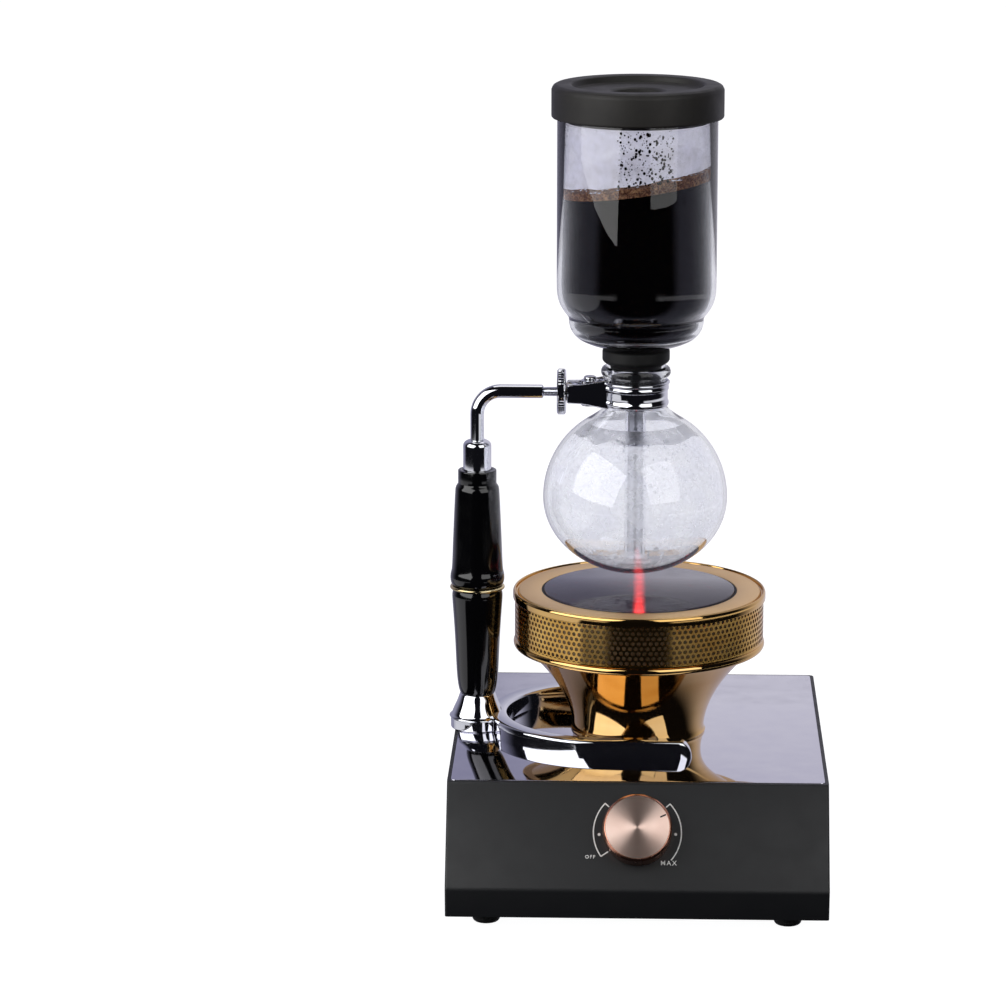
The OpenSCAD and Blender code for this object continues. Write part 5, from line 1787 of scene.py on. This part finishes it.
@dataclass
class FilterSet:
    """The filter's spring and its beaded chain."""

    frame: Frame

    def build(self) -> None:
        """Makes the spring and the chain."""
        axis = self.frame.axis("filter_disc")
        low, high = self.frame.heights("filter_spring")
        turns = 11
        spring = coil("filter_spring", 2.6, 0.42, (high - low - 0.9) / turns, turns)
        place = Matrix.Translation(axis + UP * (low + 0.45) * MM)
        self.frame.hand_over(settle(spring, place), "filter_spring")
        low, high = self.frame.heights("bead_chain")
        bead = primitive("bead", bpy.ops.mesh.primitive_uv_sphere_add, segments=12, ring_count=8,
                         radius=1.1 * MM)
        count = int((high - low - 12) / 3.2)
        beads = copies("beads", bead, [Matrix.Translation(axis + UP * (low + 8.5 + i * 3.2) * MM)
                                       for i in range(count)])
        wire = turned("wire", [(0, low + 1.2), (0.4, low + 1.2), (0.4, high - 0.1), (0, high - 0.1)], axis, 10)
        lie = Matrix.Translation(axis + UP * (low + 0.7) * MM) @ Matrix.Rotation(math.pi / 2, 4, "Y")
        reach = 7.2
        under = settle(turned("under", [(0, -0.3), (0.55, -0.3), (0.55, reach), (0, reach)], steps=10), lie)
        tip = turned("tip", [(0, low + 0.5), (0.55, low + 0.5), (0.55, low + 6), (0.3, low + 6.3),
                             (0, low + 6.3)],
                     axis + Vector((reach * MM, 0, 0)), 10)
        self.frame.hand_over(join("bead_chain", [beads, wire, under, tip]), "bead_chain")


# ---- studio ----

@dataclass
class Studio:
    """Camera, lights, backdrop and floor. Distances are in metres."""

    frame: Frame
    distance: float = 2.110
    rise: float = 0.6045         # the camera's height over the mirror plate
    pitch: float = 77.07
    pan: float = 1.92
    lens: float = 149.9
    light_away: float = 1.7
    left: tuple[float, float, float] = (-54.0, 2.1, 26.0)    # azimuth from the camera's side, width and power
    right: tuple[float, float, float] = (38.0, 1.3, 10.0)
    light_height: float = 1.55
    top_power: float = 4.0

    def camera(self) -> None:
        """Sets up the camera in front of the heater."""
        head = self.frame.axis("glass_disc")
        bpy.ops.object.camera_add(location=(head.x, head.y - self.distance, head.z + self.rise),
                                  rotation=(math.radians(self.pitch), 0, math.radians(self.pan)))
        camera = bpy.context.object
        camera.data.lens = self.lens
        camera.data.clip_start = 0.05
        bpy.context.scene.camera = camera

    def lights(self) -> None:
        """Two tall soft boxes at the front and one overhead."""
        middle = self.frame.axis("glass_disc") + UP * 0.15
        for name, turn, lift, roll, size, power in (
                ("left_softbox", self.left[0], 24.5, -8.0, (self.left[1], self.light_height), self.left[2]),
                ("right_softbox", self.right[0], 26.0, 0.0, (self.right[1], self.light_height), self.right[2]),
                ("top_softbox", 180.0, 72.0, 0.0, (1.2, 0.9), self.top_power)):
            way = Matrix.Rotation(math.radians(turn), 3, "Z") @ Vector(
                (0, -math.cos(math.radians(lift)), math.sin(math.radians(lift))))
            bpy.ops.object.light_add(type="AREA", location=middle + way * self.light_away)
            light = bpy.context.object
            light.name = name
            light.rotation_euler = (way.to_track_quat("Z", "Y")
                                    @ Quaternion((0, 0, 1), math.radians(roll))).to_euler()
            light.data.shape = "RECTANGLE"
            light.data.size, light.data.size_y = size
            light.data.energy = power

    def backdrop(self) -> None:
        """A white backdrop for the eye, dark before the object and lavender behind it for its reflections."""
        world = bpy.data.worlds.new("studio")
        world.use_nodes = True
        bpy.context.scene.world = world
        tree = world.node_tree
        way = add_node(tree, "ShaderNodeTexCoord").outputs["Generated"]
        split = add_node(tree, "ShaderNodeSeparateXYZ", {0: way})
        across, deep, rise = split.outputs
        aside = add_node(tree, "ShaderNodeMath", {0: across}, operation="ABSOLUTE").outputs[0]
        # The span of a direction's coordinate over which each part of the room sets in.
        spans = {"back": (deep, 0.15, 0.75), "right": (across, -0.09, 0.05), "wings": (aside, 0.42, 0.55),
                 "below": (rise, -0.2, -0.206), "above": (rise, -0.25, -0.242), "left": (across, -0.77, -0.81),
                 "low": (rise, -0.235, -0.25), "far": (deep, -0.2, 1.0), "beyond": (deep, -0.6, -0.3)}
        part = {name: add_node(tree, "ShaderNodeMapRange", {"Value": value, "From Min": low, "From Max": high},
                               interpolation_type="SMOOTHSTEP").outputs[0]
                for name, (value, low, high) in spans.items()}
        for name, one, other, how in (("level", "below", "above", "MULTIPLY"),
                                      ("strip", "wings", "level", "MULTIPLY"),
                                      ("corner", "left", "low", "MULTIPLY"),
                                      ("pale", "strip", "corner", "MAXIMUM")):
            part[name] = add_node(tree, "ShaderNodeMath", {0: part[one], 1: part[other]},
                                  operation=how).outputs[0]
        shades: dict[str, tuple | Socket] = {
            "cool": linear("#9e9db3"), "lavender": linear("#d3d1de"), "dark": linear("#121216"),
            "lit": linear("#e6e6ea"), "dusk": linear("#8e8e9c"), "paper": linear("#efeff1"),
            "night": linear("#101014")}
        for name, share, one, other in (("wall", "right", "cool", "lavender"),
                                        ("front", "pale", "dark", "lit"),
                                        ("room", "back", "front", "wall"), ("edge", "far", "dusk", "paper"),
                                        ("through", "beyond", "night", "edge")):
            shades[name] = add_node(tree, "ShaderNodeMix", {0: part[share], 6: shades[one], 7: shades[other]},
                                    data_type="RGBA").outputs[2]
        path = add_node(tree, "ShaderNodeLightPath")
        seen = add_node(tree, "ShaderNodeMix", {0: path.outputs["Is Transmission Ray"], 6: shades["room"],
                                                7: shades["through"]}, data_type="RGBA")
        white = add_node(tree, "ShaderNodeMix", {0: path.outputs["Is Camera Ray"], 6: seen.outputs[2],
                                                 7: (1, 1, 1, 1)}, data_type="RGBA")
        ground = tree.nodes["Background"]
        tree.links.new(white.outputs[2], ground.inputs["Color"])
        ground.inputs["Strength"].default_value = 1.0

    def floor(self) -> None:
        """The pale floor, which glows a little so that it runs into the backdrop without a line."""
        floor = primitive("floor", bpy.ops.mesh.primitive_plane_add, size=16, location=(0, 0, -0.0004))
        settle(floor)
        finish = Finish("matt_white_paper", "#8c8c8e", "#88888a", (0.7, 0.8), drift=60, glow="#ffffff",
                        strength=0.97)
        floor.data.materials.append(finish.material())
        floor.visible_glossy = floor.visible_transmission = floor.visible_diffuse = False

    def build(self) -> None:
        """Lights the scene."""
        self.lights()
        self.backdrop()
        self.floor()
        bpy.context.scene.view_settings.view_transform = "Standard"


def main() -> None:
    """Builds the scene round the frame."""
    logging.basicConfig(level=logging.INFO, format="%(message)s")
    frame = Frame(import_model())
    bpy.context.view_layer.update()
    studio = Studio(frame)
    studio.camera()
    box = HeaterBox(frame)
    glass = Glassware(frame)
    for assembly in (box, ControlKnob(frame, box.panel()), HeaterHead(frame), Stand(frame), Clamp(frame),
                     glass,
                     Brew(frame, glass), FilterSet(frame)):
        assembly.build()
        log.info("%s done", type(assembly).__name__)
    frame.dress_the_rest()
    studio.build()


if __name__ == "__main__":
    main()
